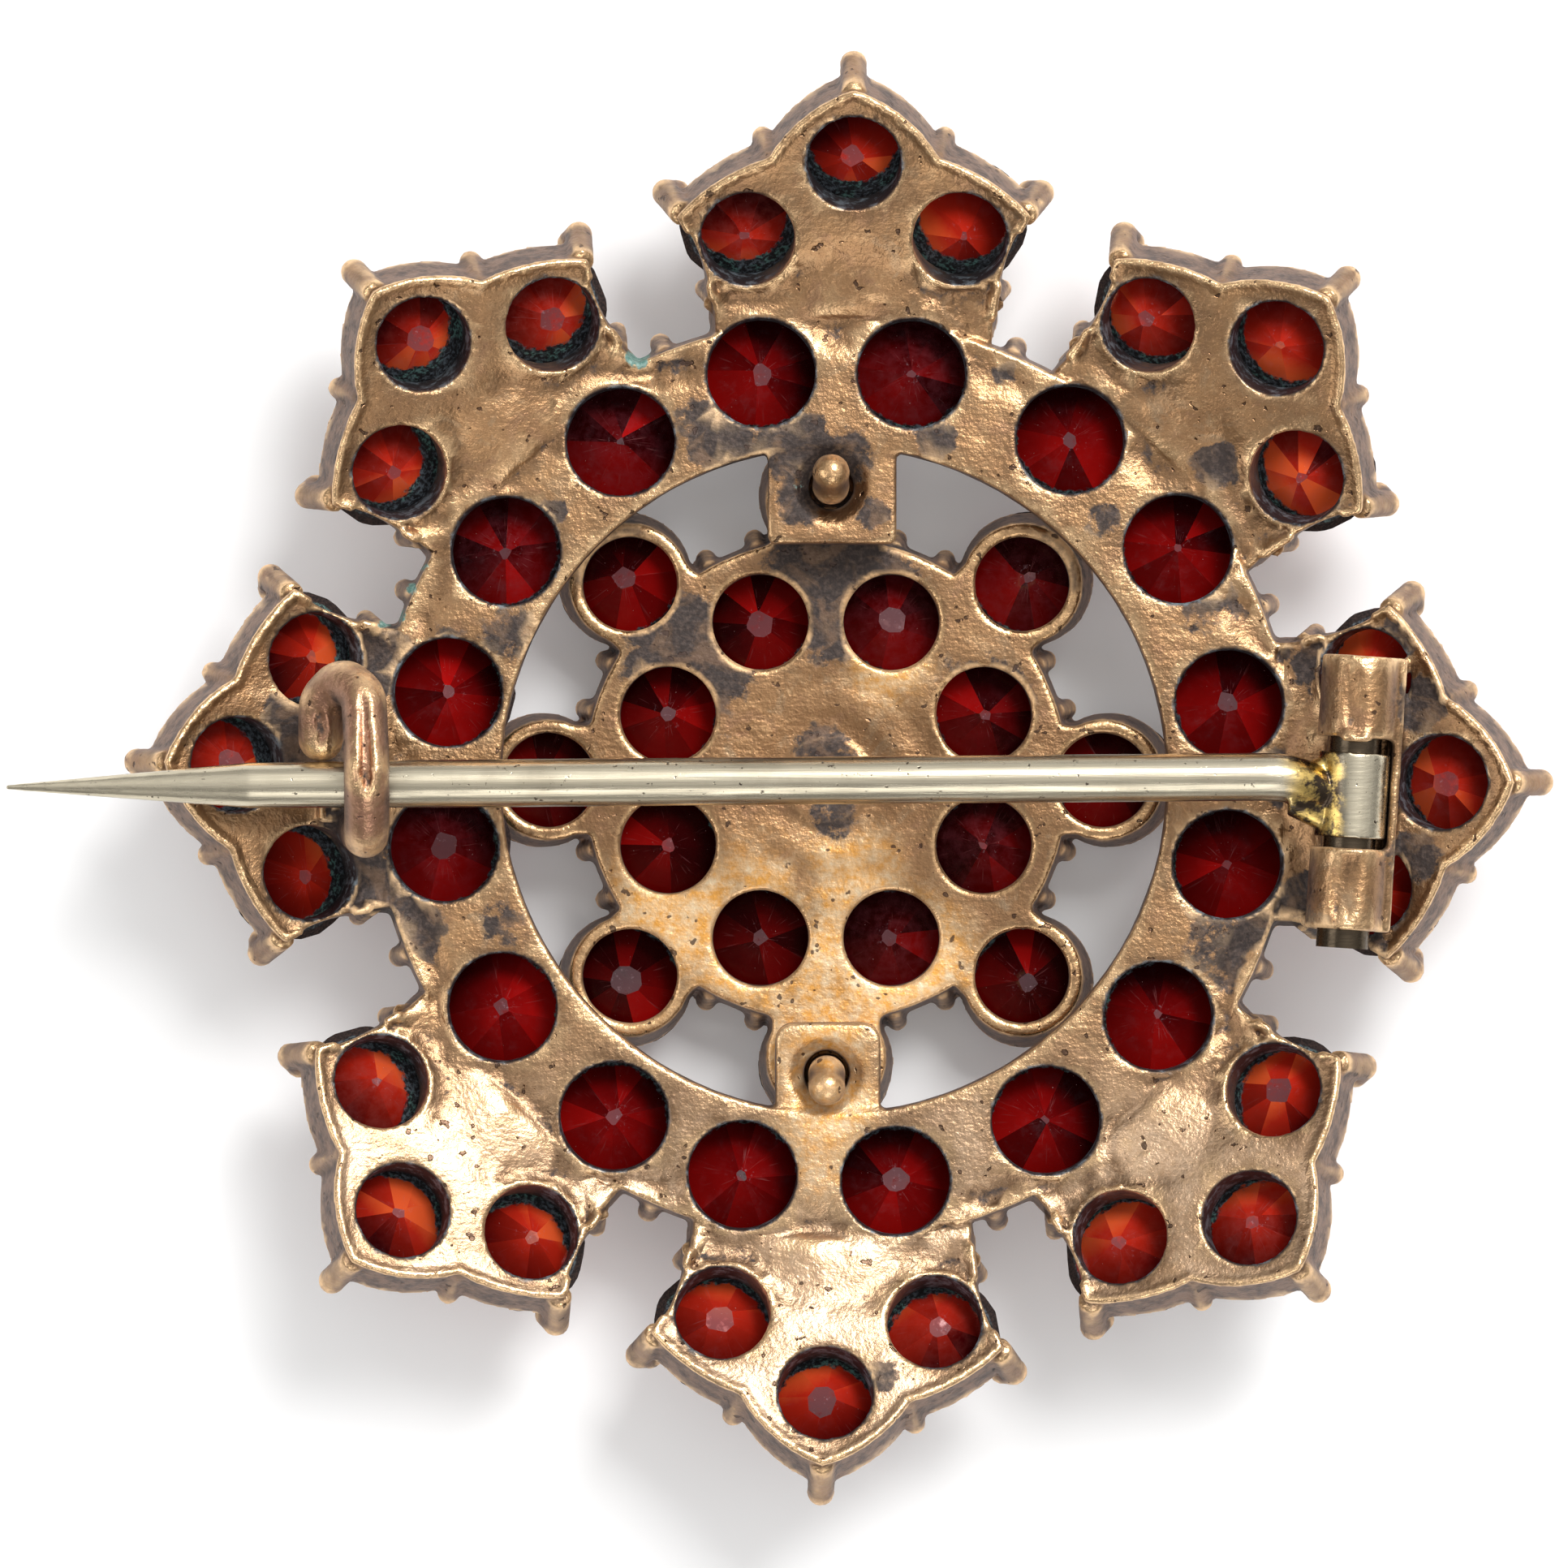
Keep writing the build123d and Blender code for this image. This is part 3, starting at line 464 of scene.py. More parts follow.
def garnet_material(name, deep, bright, pale, ember, glow):
    """A garnet: every facet has its own tone, its rim is chipped and its culet greyish.

    ember is how much of its brightest part turns orange, and the glow value is a painted glow:
    how strongly its own colour is given off, as if it were lit from within.
    """
    material, tree, surface, vector = new_material(name)
    split = add_node(
        tree, "ShaderNodeSeparateXYZ", {0: written(tree, "local", "Vector")}
    ).outputs
    turn = math_of(tree, "ARCTAN2", split[1], split[0])
    aside = add_node(tree, "ShaderNodeCombineXYZ", {0: split[0], 1: split[1]}).outputs[0]
    away = arrow_math(tree, "LENGTH", aside)
    fan = add_node(
        tree,
        "ShaderNodeCombineXYZ",
        {0: math_of(tree, "MULTIPLY", turn, 7.0), 1: math_of(tree, "MULTIPLY", away, 1.1), 2: split[2]},
    ).outputs[0]
    rays = stepped(tree, noise_of(tree, fan, 2.2, 2.0, 0.5), 0.64, 0.74)
    rays = math_of(tree, "MULTIPLY", rays, stepped(tree, away, 0.85, 0.3))
    wear = noise_of(tree, vector, 3200.0, 5.0, 0.65)
    dust = noise_of(tree, vector, 17000.0, 2.0, 0.5)
    # Painted light: the stone is painted brighter on the side where light would leave it
    lit = math_of(tree, "ADD", written(tree, "tone"), written(tree, "drift"))
    lit = math_of(tree, "ADD", lit, math_of(tree, "MULTIPLY", wear, 0.1), clamp=True)
    middle = mixed(tree, 0.38, deep, bright)
    body = mixed(tree, stepped(tree, lit, 0.05, 0.5), deep, middle)
    body = mixed(tree, stepped(tree, lit, 0.5, 0.95), body, bright)
    orange = math_of(tree, "MULTIPLY", stepped(tree, lit, 0.8, 1.0), ember)
    body = mixed(tree, orange, body, (0.72, 0.13, 0.03, 1))
    fog = math_of(tree, "MULTIPLY", stepped(tree, wear, 0.4, 0.7), written(tree, "haze"))
    body = mixed(tree, fog, body, pale)
    body = mixed(tree, math_of(tree, "MULTIPLY", rays, 0.3), body, (0.3, 0.1, 0.1, 1))
    ground = math_of(tree, "MULTIPLY", written(tree, "culet"), stepped(tree, wear, 0.25, 0.5))
    body = mixed(tree, ground, body, (0.06, 0.02, 0.026, 1))
    scuffs = stepped(tree, noise_of(tree, vector, 7000.0, 4.0, 0.7), 0.6, 0.7)
    scuffs = math_of(tree, "MULTIPLY", scuffs, stepped(tree, away, 0.32, 0.05))
    body = mixed(tree, math_of(tree, "MULTIPLY", scuffs, 0.45), body, (0.34, 0.22, 0.25, 1))
    body = mixed(tree, stepped(tree, dust, 0.76, 0.8), body, (0.5, 0.3, 0.28, 1))
    crust, crust_tone = crust_of(tree, vector, wear)
    body = mixed(tree, crust, body, crust_tone)
    # Beyond the ledge the back is rough and nearly black
    outer = math_of(tree, "ADD", away, math_of(tree, "MULTIPLY", wear, 0.06))
    outer = math_of(tree, "MULTIPLY", stepped(tree, outer, 0.87, 0.9), written(tree, "back"))
    rim = math_of(tree, "MAXIMUM", written(tree, "rim"), outer)
    grime = mixed(
        tree, stepped(tree, dust, 0.4, 0.65), (0.012, 0.008, 0.008, 1), (0.045, 0.026, 0.022, 1)
    )
    body = mixed(tree, rim, body, grime)
    rough = math_of(tree, "ADD", 0.07, math_of(tree, "MULTIPLY", rim, 0.4))
    rough = math_of(tree, "ADD", rough, math_of(tree, "MULTIPLY", ground, 0.8))
    rough = math_of(tree, "ADD", rough, math_of(tree, "MULTIPLY", crust, 0.6), clamp=True)
    ground_flat = stepped(tree, written(tree, "culet"), 0.0, 0.5)
    dull = math_of(tree, "MAXIMUM", rim, math_of(tree, "MAXIMUM", crust, ground_flat))
    coat = math_of(tree, "MULTIPLY", math_of(tree, "SUBTRACT", 1.0, dull, clamp=True), 0.1)
    tree.links.new(body, surface.inputs["Base Color"])
    # The stone's colour is also given off: a painted glow
    tree.links.new(body, surface.inputs["Emission Color"])
    tree.links.new(rough, surface.inputs["Roughness"])
    surface.inputs["Emission Strength"].default_value = glow
    surface.inputs["IOR"].default_value = 1.76
    tree.links.new(coat, surface.inputs["Coat Weight"])
    surface.inputs["Specular IOR Level"].default_value = 0.2
    surface.inputs["Coat Roughness"].default_value = 0.03
    return material


# Stones


def stone_place(mesh):
    """A packed stone's middle, the way its back points, its radius and its two heights.

    The table is its largest flat face, and its middle lies on the stone's own axis.
    """
    flats = {}
    for face in mesh.polygons:
        key = tuple(round(value, 2) + 0.0 for value in face.normal)
        area, corners = flats.get(key, (0.0, []))
        flats[key] = (area + face.area, corners + list(face.vertices))
    key = max(flats, key=lambda item: flats[item][0])
    points = np.array([vertex.co for vertex in mesh.vertices])
    axis = -np.array(key)
    axis /= np.linalg.norm(axis)
    table = np.unique(np.round(points[flats[key][1]], 7), axis=0)
    middle = (table.max(0) + table.min(0)) / 2
    along = (points - middle) @ axis
    aside = np.linalg.norm((points - middle) - np.outer(along, axis), axis=1)
    radius = aside.max()
    girdle = along[aside > radius * 0.97].mean()
    centre = middle + axis * girdle
    return Vector(centre), Vector(axis), radius, girdle - along.min(), along.max() - girdle


def cut_by(origin, normal):
    """A flat cut through the mesh in edit mode. What the normal points at is ground off."""
    bpy.ops.mesh.select_all(action="SELECT")
    bpy.ops.mesh.bisect(
        plane_co=origin,
        plane_no=normal.normalized(),
        use_fill=True,
        clear_outer=True,
        threshold=0.0001 * mm,
    )


def cut_stone(name, radius, crown, pavilion, draw, brightness, turn):
    """A hand-cut stone: table at -Z, facets that meet near its point, a chipped rim."""
    half_girdle = 0.05 * mm
    deselect()
    bpy.ops.mesh.primitive_cylinder_add(
        vertices=40,
        radius=radius,
        depth=crown + pavilion,
        location=(0, 0, (pavilion - crown) / 2),
    )
    stone = bpy.context.object
    stone.name = name
    bpy.ops.object.transform_apply(location=True, rotation=True, scale=True)
    bpy.ops.object.mode_set(mode="EDIT")
    count = draw.choice((8, 9, 10, 10))
    for facet in range(count):
        # Back facets: every one has its own width and slope
        heading = turn + 2 * math.pi * (facet + draw.uniform(-0.16, 0.16)) / count
        outward = Vector((math.cos(heading), math.sin(heading), 0))
        reach = radius * draw.uniform(0.93, 0.97)
        rise = pavilion * draw.uniform(0.99, 1.07)
        normal = outward * rise + Vector((0, 0, reach))
        cut_by(outward * reach + Vector((0, 0, half_girdle)), normal)
    blunt = draw.choice((0.01, 0.03, 0.06, 0.1, 0.15))
    lean = Vector((draw.uniform(-0.14, 0.14), draw.uniform(-0.14, 0.14), 1))
    cut_by(Vector((0, 0, pavilion * (1 - blunt))), lean)
    for tier, (slope, height) in enumerate(((0.62, 0.38), (0.98, 0.72))):
        # Front facets: the main ones and the low ones between them
        for facet in range(8):
            heading = turn + 2 * math.pi * (facet + tier / 2) / 8
            outward = Vector((math.cos(heading), math.sin(heading), 0))
            reach = radius * (0.95 + 0.03 * tier)
            normal = outward * slope + Vector((0, 0, -height))
            cut_by(outward * reach + Vector((0, 0, -half_girdle)), normal)
    for chip in range(draw.randint(9, 13)):
        # The rim is nibbled and chipped all round
        heading = draw.uniform(0, 2 * math.pi)
        outward = Vector((math.cos(heading), math.sin(heading), 0))
        lean = draw.uniform(-0.5, 0.5)
        cut_by(outward * radius * draw.uniform(0.955, 0.985), outward + Vector((0, 0, lean)))
    bpy.ops.mesh.select_all(action="SELECT")
    bpy.ops.mesh.dissolve_limited(angle_limit=math.radians(1))
    bpy.ops.mesh.normals_make_consistent(inside=False)
    bpy.ops.object.mode_set(mode="OBJECT")
    tint_facets(stone, radius, pavilion, half_girdle, draw, brightness)
    return stone


def tint_facets(stone, radius, pavilion, half_girdle, draw, brightness):
    """Each facet's own tone: dark and bright ones side by side."""
    mesh = stone.data
    tones, rims, culets, hazes, backs = [], [], [], [], []
    stone_haze = max(0.0, draw.uniform(-0.3, 0.3))
    for face in mesh.polygons:
        middle, normal = face.center, face.normal
        away = math.hypot(middle.x, middle.y) / radius
        tone = brightness + draw.uniform(-0.15, 0.13)
        if draw.random() < 0.1:
            tone += 0.3
        if draw.random() < 0.2:
            tone -= 0.25
        steep = abs(normal.z) < 0.35
        flat_top = normal.z > 0.93 and middle.z > pavilion * 0.5
        tones.append(min(1.0, max(0.0, tone)))
        rims.append(1.0 if steep and away > 0.85 else 0.0)
        culets.append(0.65 if flat_top else 0.0)
        hazes.append(stone_haze)
        backs.append(1.0 if normal.z > 0.05 else 0.0)
    for name, values in (
        ("tone", tones),
        ("rim", rims),
        ("culet", culets),
        ("haze", hazes),
        ("back", backs),
    ):
        layer = mesh.attributes.new(name, "FLOAT", "FACE")
        layer.data.foreach_set("value", values)
    seed = draw.uniform(0, 50)
    local = mesh.attributes.new("local", "FLOAT_VECTOR", "POINT")
    for vertex, value in zip(mesh.vertices, local.data):
        value.vector = (vertex.co.x / radius, vertex.co.y / radius, seed)


def set_stone(stone, centre, axis, radius, glow_heading, glow_share, crust):
    """The cut stone goes to its place: its back points along the axis.

    It keeps how far each corner lies towards its side of painted light, and away from the
    star's middle, in shares of its radius.
    """
    turn = Vector((0, 0, 1)).rotation_difference(axis)
    stone.matrix_world = Matrix.Translation(centre) @ turn.to_matrix().to_4x4()
    settle(stone)
    offset = (points_of(stone) - np.array(centre)) / radius
    away = np.array((centre.x, centre.y)) / max(math.hypot(centre.x, centre.y), 0.01 * mm)
    outward = offset[:, 0] * away[0] + offset[:, 1] * away[1]
    sideways = offset[:, 1] * away[0] - offset[:, 0] * away[1]
    bearing = stone.data.attributes.new("bearing", "FLOAT_VECTOR", "POINT")
    rows = np.stack([outward, sideways, offset[:, 2]], axis=1)
    bearing.data.foreach_set("vector", rows.astype(np.float32).ravel())
    glow = offset[:, 0] * math.cos(glow_heading) + offset[:, 1] * math.sin(glow_heading)
    write_mask(stone, "drift", glow * glow_share)
    write_mask(stone, "crust", np.full(len(offset), crust))


def dress_stones():
    """Every packed stone gets its own hand-cut one in the same place."""
    deep_red = garnet_material(
        "deep_garnet",
        deep=(0.022, 0.0003, 0.0008, 1),
        bright=(0.5, 0.006, 0.005, 1),
        pale=(0.16, 0.035, 0.045, 1),
        ember=0.0,
        glow=0.1,
    )
    warm_red = garnet_material(
        "warm_garnet",
        deep=(0.045, 0.0006, 0.0012, 1),
        bright=(0.52, 0.021, 0.008, 1),
        pale=(0.3, 0.07, 0.06, 1),
        ember=0.55,
        glow=0.11,
    )
    for index, node in enumerate(ring_names + tip_names + ["centre_stone"]):
        centre, axis, radius, crown, pavilion = stone_place(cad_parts[node].data)
        draw = random.Random(7000 + index)
        at_tip = node in tip_names
        stone = cut_stone(
            node.replace("stone", "garnet"),
            radius,
            crown,
            pavilion,
            draw,
            brightness=0.5 if at_tip else draw.uniform(0.22, 0.4),
            turn=draw.uniform(0, 2 * math.pi),
        )
        if at_tip:
            # A tip's stone has painted light on the side that faces the star's middle
            glow_heading = math.atan2(-centre.y, -centre.x) + draw.uniform(-0.7, 0.7)
            crust = (centre.y - centre.x) / (28 * mm) + draw.uniform(-0.4, 0.4)
        else:
            # The other stones have painted light on a side towards -Y
            glow_heading = math.radians(draw.uniform(200, 330))
            crust = draw.uniform(-1.2, -0.7)
        glow_share = 0.75 if at_tip else 0.4
        set_stone(stone, centre, axis, radius, glow_heading, glow_share, crust)
        stone.data.materials.append(warm_red if at_tip else deep_red)
        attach(stone, "root")
        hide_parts(node)
    dress_inner_stones(deep_red)


def dress_inner_stones(material):
    """The inner star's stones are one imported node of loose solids, and one piece here."""
    source = copy_of("inner_star_stones", "inner_star_loose")
    pick(source)
    bpy.ops.mesh.separate(type="LOOSE")
    loose = list(bpy.context.selected_objects)
    loose.sort(key=lambda piece: tuple(round(value, 5) for value in points_of(piece).mean(0)))
    stones = []
    for index, piece in enumerate(loose):
        centre, axis, radius, crown, pavilion = stone_place(piece.data)
        draw = random.Random(9000 + index)
        stone = cut_stone(
            f"inner_garnet_{index}",
            radius,
            crown,
            pavilion,
            draw,
            brightness=0.24 if centre.y > 0 else 0.1,
            turn=draw.uniform(0, 2 * math.pi),
        )
        # Painted light on a side towards -Y
        glow_heading = math.radians(draw.uniform(200, 330))
        set_stone(stone, centre, axis, radius, glow_heading, glow_share=0.3, crust=-1.0)
        stones.append(stone)
    deselect()
    for piece in loose:
        bpy.data.objects.remove(piece)
    field = joined("inner_garnets", stones)
    field.data.materials.append(material)
    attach(field, "root")
    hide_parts("inner_star_stones")


# Metal


def ridge_of(source, level_low, inside, keep_off):
    """A rolled bead along the back edge of a cast wall, as one tube for each stretch."""
    bead = bpy.data.objects.new("bead", source.data.copy())
    bpy.context.scene.collection.objects.link(bead)
    shape = bmesh.new()
    shape.from_mesh(bead.data)
    kept = set()
    for edge in shape.edges:
        if len(edge.link_faces) != 2:
            continue
        first, second = sorted(edge.link_faces, key=lambda face: -face.normal.z)
        middle = (edge.verts[0].co + edge.verts[1].co) / 2
        radial = math.hypot(middle.x, middle.y)
        if first.normal.z < 0.93 or second.normal.z > 0.45 or middle.z < level_low:
            continue
        if radial < inside:
            continue
        if any((middle - centre).cross(axis).length < reach for centre, axis, reach in keep_off):
            continue
        kept.add(edge)
    loose = [edge for edge in shape.edges if edge not in kept]
    bmesh.ops.delete(shape, geom=loose, context="EDGES")
    bmesh.ops.delete(
        shape, geom=[vertex for vertex in shape.verts if not vertex.link_edges], context="VERTS"
    )
    shape.to_mesh(bead.data)
    shape.free()
    pick(bead)
    bpy.ops.object.convert(target="CURVE")
    bead.data.bevel_depth = ridge_radius
    bead.data.bevel_resolution = 2
    bead.data.use_fill_caps = True
    bpy.ops.object.convert(target="MESH")
    return bead


def cast(piece, size, triangles, unevenness):
    """Cast metal in one skin: remeshed, softened, made a little uneven and thinned out."""
    apply_modifier(piece, "REMESH", mode="VOXEL", voxel_size=size)
    apply_modifier(piece, "SMOOTH", factor=0.5, iterations=4)
    clouds = bpy.data.textures.new(f"{piece.name}_clouds", "CLOUDS")
    clouds.noise_scale = cloud_size
    clouds.noise_depth = 2
    apply_modifier(
        piece,
        "DISPLACE",
        texture=clouds,
        texture_coords="LOCAL",
        strength=unevenness,
        mid_level=0.5,
    )
    count = sum(len(face.vertices) - 2 for face in piece.data.polygons)
    if count > triangles:
        apply_modifier(piece, "DECIMATE", ratio=triangles / count)
    pick(piece)
    bpy.ops.object.shade_smooth()
    return piece


def pairs_of(piece):
    """The two ends of every edge of the mesh, as rows of numbers."""
    pairs = np.empty(len(piece.data.edges) * 2, dtype=np.int64)
    piece.data.edges.foreach_get("vertices", pairs)
    return pairs.reshape(-1, 2)


def spread(pairs, values, rounds):
    """Values that are shared out between neighbours, so many times over."""
    count = len(values)
    ends = np.concatenate([pairs[:, 0], pairs[:, 1]])
    others = np.concatenate([pairs[:, 1], pairs[:, 0]])
    share = np.maximum(np.bincount(ends, minlength=count), 1)
    for _ in range(rounds):
        around = np.bincount(ends, weights=values[others], minlength=count) / share
        values = 0.5 * (values + around)
    return values


def convexity(piece):
    """How far each vertex stands out of its neighbours, in shares of their distance."""
    pairs = pairs_of(piece)
    points, normals = points_of(piece), normals_of(piece)
    gap = points[pairs[:, 1]] - points[pairs[:, 0]]
    span = np.linalg.norm(gap, axis=1)
    lift = np.zeros(len(points))
    length = np.zeros(len(points))
    for first, sign in ((0, -1.0), (1, 1.0)):
        ends = pairs[:, first]
        rise = sign * (gap * normals[ends]).sum(1)
        lift += np.bincount(ends, weights=rise, minlength=len(points))
        length += np.bincount(ends, weights=span, minlength=len(points))
    return spread(pairs, lift / np.maximum(length, 1e-12), 2)


def soften_bends(piece, inner, outer, rounds):
    """The sharp line where each arm bends back from the flat ring becomes a soft one."""
    pairs = pairs_of(piece)
    points, normals = points_of(piece), normals_of(piece)
    radial = np.hypot(points[:, 0], points[:, 1])
    flat = smoothstep(0.7, 0.9, normals[:, 2])
    flat = np.minimum(flat, smoothstep(0.9, 0.99, spread(pairs, flat, 4)))
    band = smoothstep(inner, inner + 0.5 * mm, radial) * smoothstep(outer, outer - 0.5 * mm, radial)
    soft = spread(pairs, points[:, 2], rounds)
    points[:, 2] += (soft - points[:, 2]) * flat * band
    piece.data.vertices.foreach_set("co", points.ravel())
    piece.data.update()


def soften_dish(piece, reach, depth, rounds):
    """The inner star's middle is worn into a soft dish."""
    points = points_of(piece)
    radial = np.hypot(points[:, 0], points[:, 1])
    level = points[radial < reach][:, 2].max()
    band = smoothstep(reach, reach - 0.6 * mm, radial)
    band *= smoothstep(level - 0.9 * mm, level - 0.6 * mm, points[:, 2])
    pairs = pairs_of(piece)
    soft = np.stack([spread(pairs, points[:, axis], rounds) for axis in range(3)], axis=1)
    soft[:, 2] -= depth * smoothstep(1.9 * mm, 0.3 * mm, radial)
    points += (soft - points) * band[:, None]
    piece.data.vertices.foreach_set("co", points.ravel())
    piece.data.update()


# Marks on the metal: their places x and y in the part's frame and their radius, all in
# millimetres, and how strong they are
Mark = namedtuple("Mark", "x y radius strength")
tarnish_marks = [
    Mark(-2.9, 8.5, 1.3, 1.0),
    Mark(-1.0, 8.3, 1.5, 0.9),
    Mark(0.4, 8.1, 1.2, 0.6),
    Mark(2.5, 8.4, 0.8, 1.0),
    Mark(-3.6, 9.0, 0.9, 0.7),
    Mark(4.3, 10.1, 0.6, 0.7),
    Mark(9.4, 7.8, 0.9, 0.9),
    Mark(6.7, 6.5, 0.7, 0.9),
    Mark(9.2, 4.4, 1.4, 0.6),
    Mark(-8.0, 3.7, 1.4, 0.6),
    Mark(-7.0, 6.7, 0.6, 1.0),
    Mark(-8.2, -3.6, 1.2, 0.6),
    Mark(9.3, -4.1, 1.6, 0.6),
    Mark(10.9, 0.2, 1.0, 0.8),
    Mark(11.8, 3.2, 1.2, 0.5),
    Mark(11.6, -3.6, 1.3, 0.7),
    Mark(14.5, 1.9, 1.1, 1.0),
    Mark(14.3, -1.9, 1.1, 1.0),
    Mark(13.9, 3.4, 0.9, 0.8),
    Mark(10.9, -3.4, 1.5, 0.9),
    Mark(13.2, -4.2, 0.9, 0.8),
    Mark(-11.2, 3.0, 1.4, 1.0),
    Mark(-11.2, -2.8, 1.3, 1.0),
    Mark(-10.2, -3.7, 1.1, 0.9),
    Mark(-12.6, 0.6, 1.9, 1.0),
    Mark(-13.4, 1.3, 1.4, 1.0),
    Mark(-12.0, -1.4, 1.4, 0.9),
    Mark(-11.0, -3.5, 1.5, 0.5),
    Mark(1.2, -14.7, 0.7, 0.9),
    Mark(-9.6, 3.4, 0.9, 0.6),
    Mark(2.4, 13.6, 1.0, 0.35),
    Mark(-0.9, 6.9, 0.9, 0.85),
    Mark(1.0, 6.6, 0.7, 0.75),
]
green_marks = [
    Mark(-4.9, 10.5, 0.6, 1.0),
    Mark(-10.75, 4.1, 0.34, 1.0),
    Mark(-10.5, 4.75, 0.3, 1.0),
    Mark(-10.2, 5.3, 0.26, 0.95),
    Mark(-11.2, 3.9, 0.3, 0.95),
    Mark(-0.9, 7.3, 0.35, 0.8),
    Mark(-0.2, 6.0, 0.2, 1.0),
    Mark(1.3, 6.1, 0.2, 1.0),
]
# Painted glare: a painted highlight round the lower arm's root
glow_marks = [
    Mark(-0.4, -6.9, 1.6, 1.0),
    Mark(-0.1, -8.0, 1.5, 1.0),
    Mark(-0.3, -9.2, 1.9, 0.5),
]
inner_tarnish_marks = [
    Mark(-3.6, 3.0, 2.6, 1.0),
    Mark(0.2, 4.9, 3.0, 0.9),
    Mark(-5.6, 5.6, 1.8, 0.8),
    Mark(5.4, 5.4, 1.6, 0.7),
    Mark(3.8, 2.0, 2.0, 0.75),
    Mark(6.4, 0.2, 1.2, 0.6),
    Mark(-2.6, 1.4, 1.0, 0.5),
    # These two darken the dish's middle: painted shade, through the tarnish mask
    Mark(-0.3, 0.6, 1.3, 0.75),
    Mark(0.0, -0.9, 1.1, 0.7),
]
# Painted glare: a painted highlight on the inner star's lower half
inner_glow_marks = [
    Mark(-1.5, -3.9, 3.2, 1.0),
    Mark(1.6, -4.9, 2.8, 1.0),
    Mark(-3.9, -3.2, 2.4, 0.9),
    Mark(0.4, -2.4, 1.8, 0.8),
    Mark(1.4, 2.8, 1.4, 0.7),
    Mark(-0.4, -6.9, 2.4, 1.0),
    Mark(-5.3, -5.2, 1.8, 0.7),
]


def spots(points, marks):
    """The strongest of the marks at each point."""
    value = np.zeros(len(points))
    for mark in marks:
        away = np.hypot(points[:, 0] - mark.x * mm, points[:, 1] - mark.y * mm)
        value = np.maximum(value, mark.strength * (1 - smoothstep(0.3, 1.0, away / (mark.radius * mm))))
    return value


def hole_marks(points, normals, holes):
    """The walls of the pierced holes, and the brown ring of painted shade round each of them."""
    wall = np.zeros(len(points))
    ring = np.zeros(len(points))
    for centre, axis, radius in holes:
        offset = points - np.array(centre)
        along = offset @ np.array(axis)
        near = np.abs(along) < 2.4 * mm
        aside = np.linalg.norm(offset - np.outer(along, np.array(axis)), axis=1)
        outward = (normals * (offset - np.outer(along, np.array(axis)))).sum(1)
        facing_in = smoothstep(0.1, 0.6, -outward / np.maximum(aside, 1e-9))
        inside = (1 - smoothstep(0.02, 0.1, (aside - radius) / mm)) * facing_in
        wall = np.maximum(wall, np.where(near, inside, 0.0))
        band = np.exp(-(((aside - radius) / (0.2 * mm)) ** 2))
        ring = np.maximum(ring, np.where(near, band, 0.0))
    return wall, ring


def write_wear(piece, holes, tarnish, green, glow):
    """The masks that the gilt material reads, for wear, stains and tints, and for painted shade,
    highlight and glare.
    """
    points, normals = points_of(piece), normals_of(piece)
    curve = convexity(piece)
    steep = 1 - smoothstep(0.35, 0.8, normals[:, 2])
    wall, ring = hole_marks(points, normals, holes)
    # Convex edges: rubbed gilding, and on the bead a painted highlight too
    write_mask(piece, "edge", smoothstep(0.02, 0.1, curve) * (1 - wall))
    write_mask(piece, "wall", steep)
    write_mask(piece, "socket", wall)
    hollow = smoothstep(0.02, 0.1, -curve)
    near_wall = smoothstep(0.06, 0.42, spread(pairs_of(piece), steep, 26)) * (1 - steep)
    # Painted shade round the holes, in hollows and near the walls
    write_mask(piece, "shade", np.clip(0.6 * ring + hollow + 0.75 * near_wall, 0, 1))
    write_mask(piece, "green", spots(points, green))
    # Painted glare
    write_mask(piece, "glow", spots(points, glow))
    catch = smoothstep(*catch_level, points[:, 2]) * smoothstep(*catch_side, points[:, 0])
    write_mask(piece, "rose", catch)
    dark = spots(points, tarnish) * (1 - 0.8 * catch) + 0.45 * hollow
    write_mask(piece, "tarnish", np.clip(dark, 0, 1))
    # The lower arms painted paler: a painted highlight
    write_mask(piece, "pale", 0.75 * smoothstep(*pale_side, points[:, 1]))


def dress_outer_frame(gilt):
    """The outer frame in one cast skin, with a rolled bead round its arms."""
    star = copy_of("outer_frame", "star_frame")
    places = [stone_place(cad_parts[node].data) for node in tip_names + ring_names]
    keep_off = [(centre, axis, radius * 0.86) for centre, axis, radius, _, _ in places]
    bend = min(math.hypot(place[0].x, place[0].y) for place in places[: len(tip_names)])
    bead = ridge_of(star, ridge_level, bend - ridge_inside, keep_off)
    star = joined("star_frame", [star, bead])
    cast(star, voxel, star_triangles, cast_unevenness)
    soften_bends(star, bend - bend_start, bend - bend_end, 70)
    holes = [
        (centre, axis, radius - ledges[name.split("_")[0]])
        for name, (centre, axis, radius, _, _) in zip(tip_names + ring_names, places)
    ]
    write_wear(star, holes, tarnish_marks, green_marks, glow_marks)
    star.data.materials.append(gilt)
    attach(star, "root")
    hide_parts("outer_frame")


def dress_inner_star(gilt):
    """The inner star in one cast skin."""
    star = copy_of("inner_star", "inner_star_metal")
    cast(star, voxel, inner_triangles, cast_unevenness)
    soften_dish(star, dish_reach, dish_depth, 60)
    write_wear(star, [], inner_tarnish_marks, [], inner_glow_marks)
    star.data.materials.append(gilt)
    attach(star, "root")
    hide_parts("inner_star")


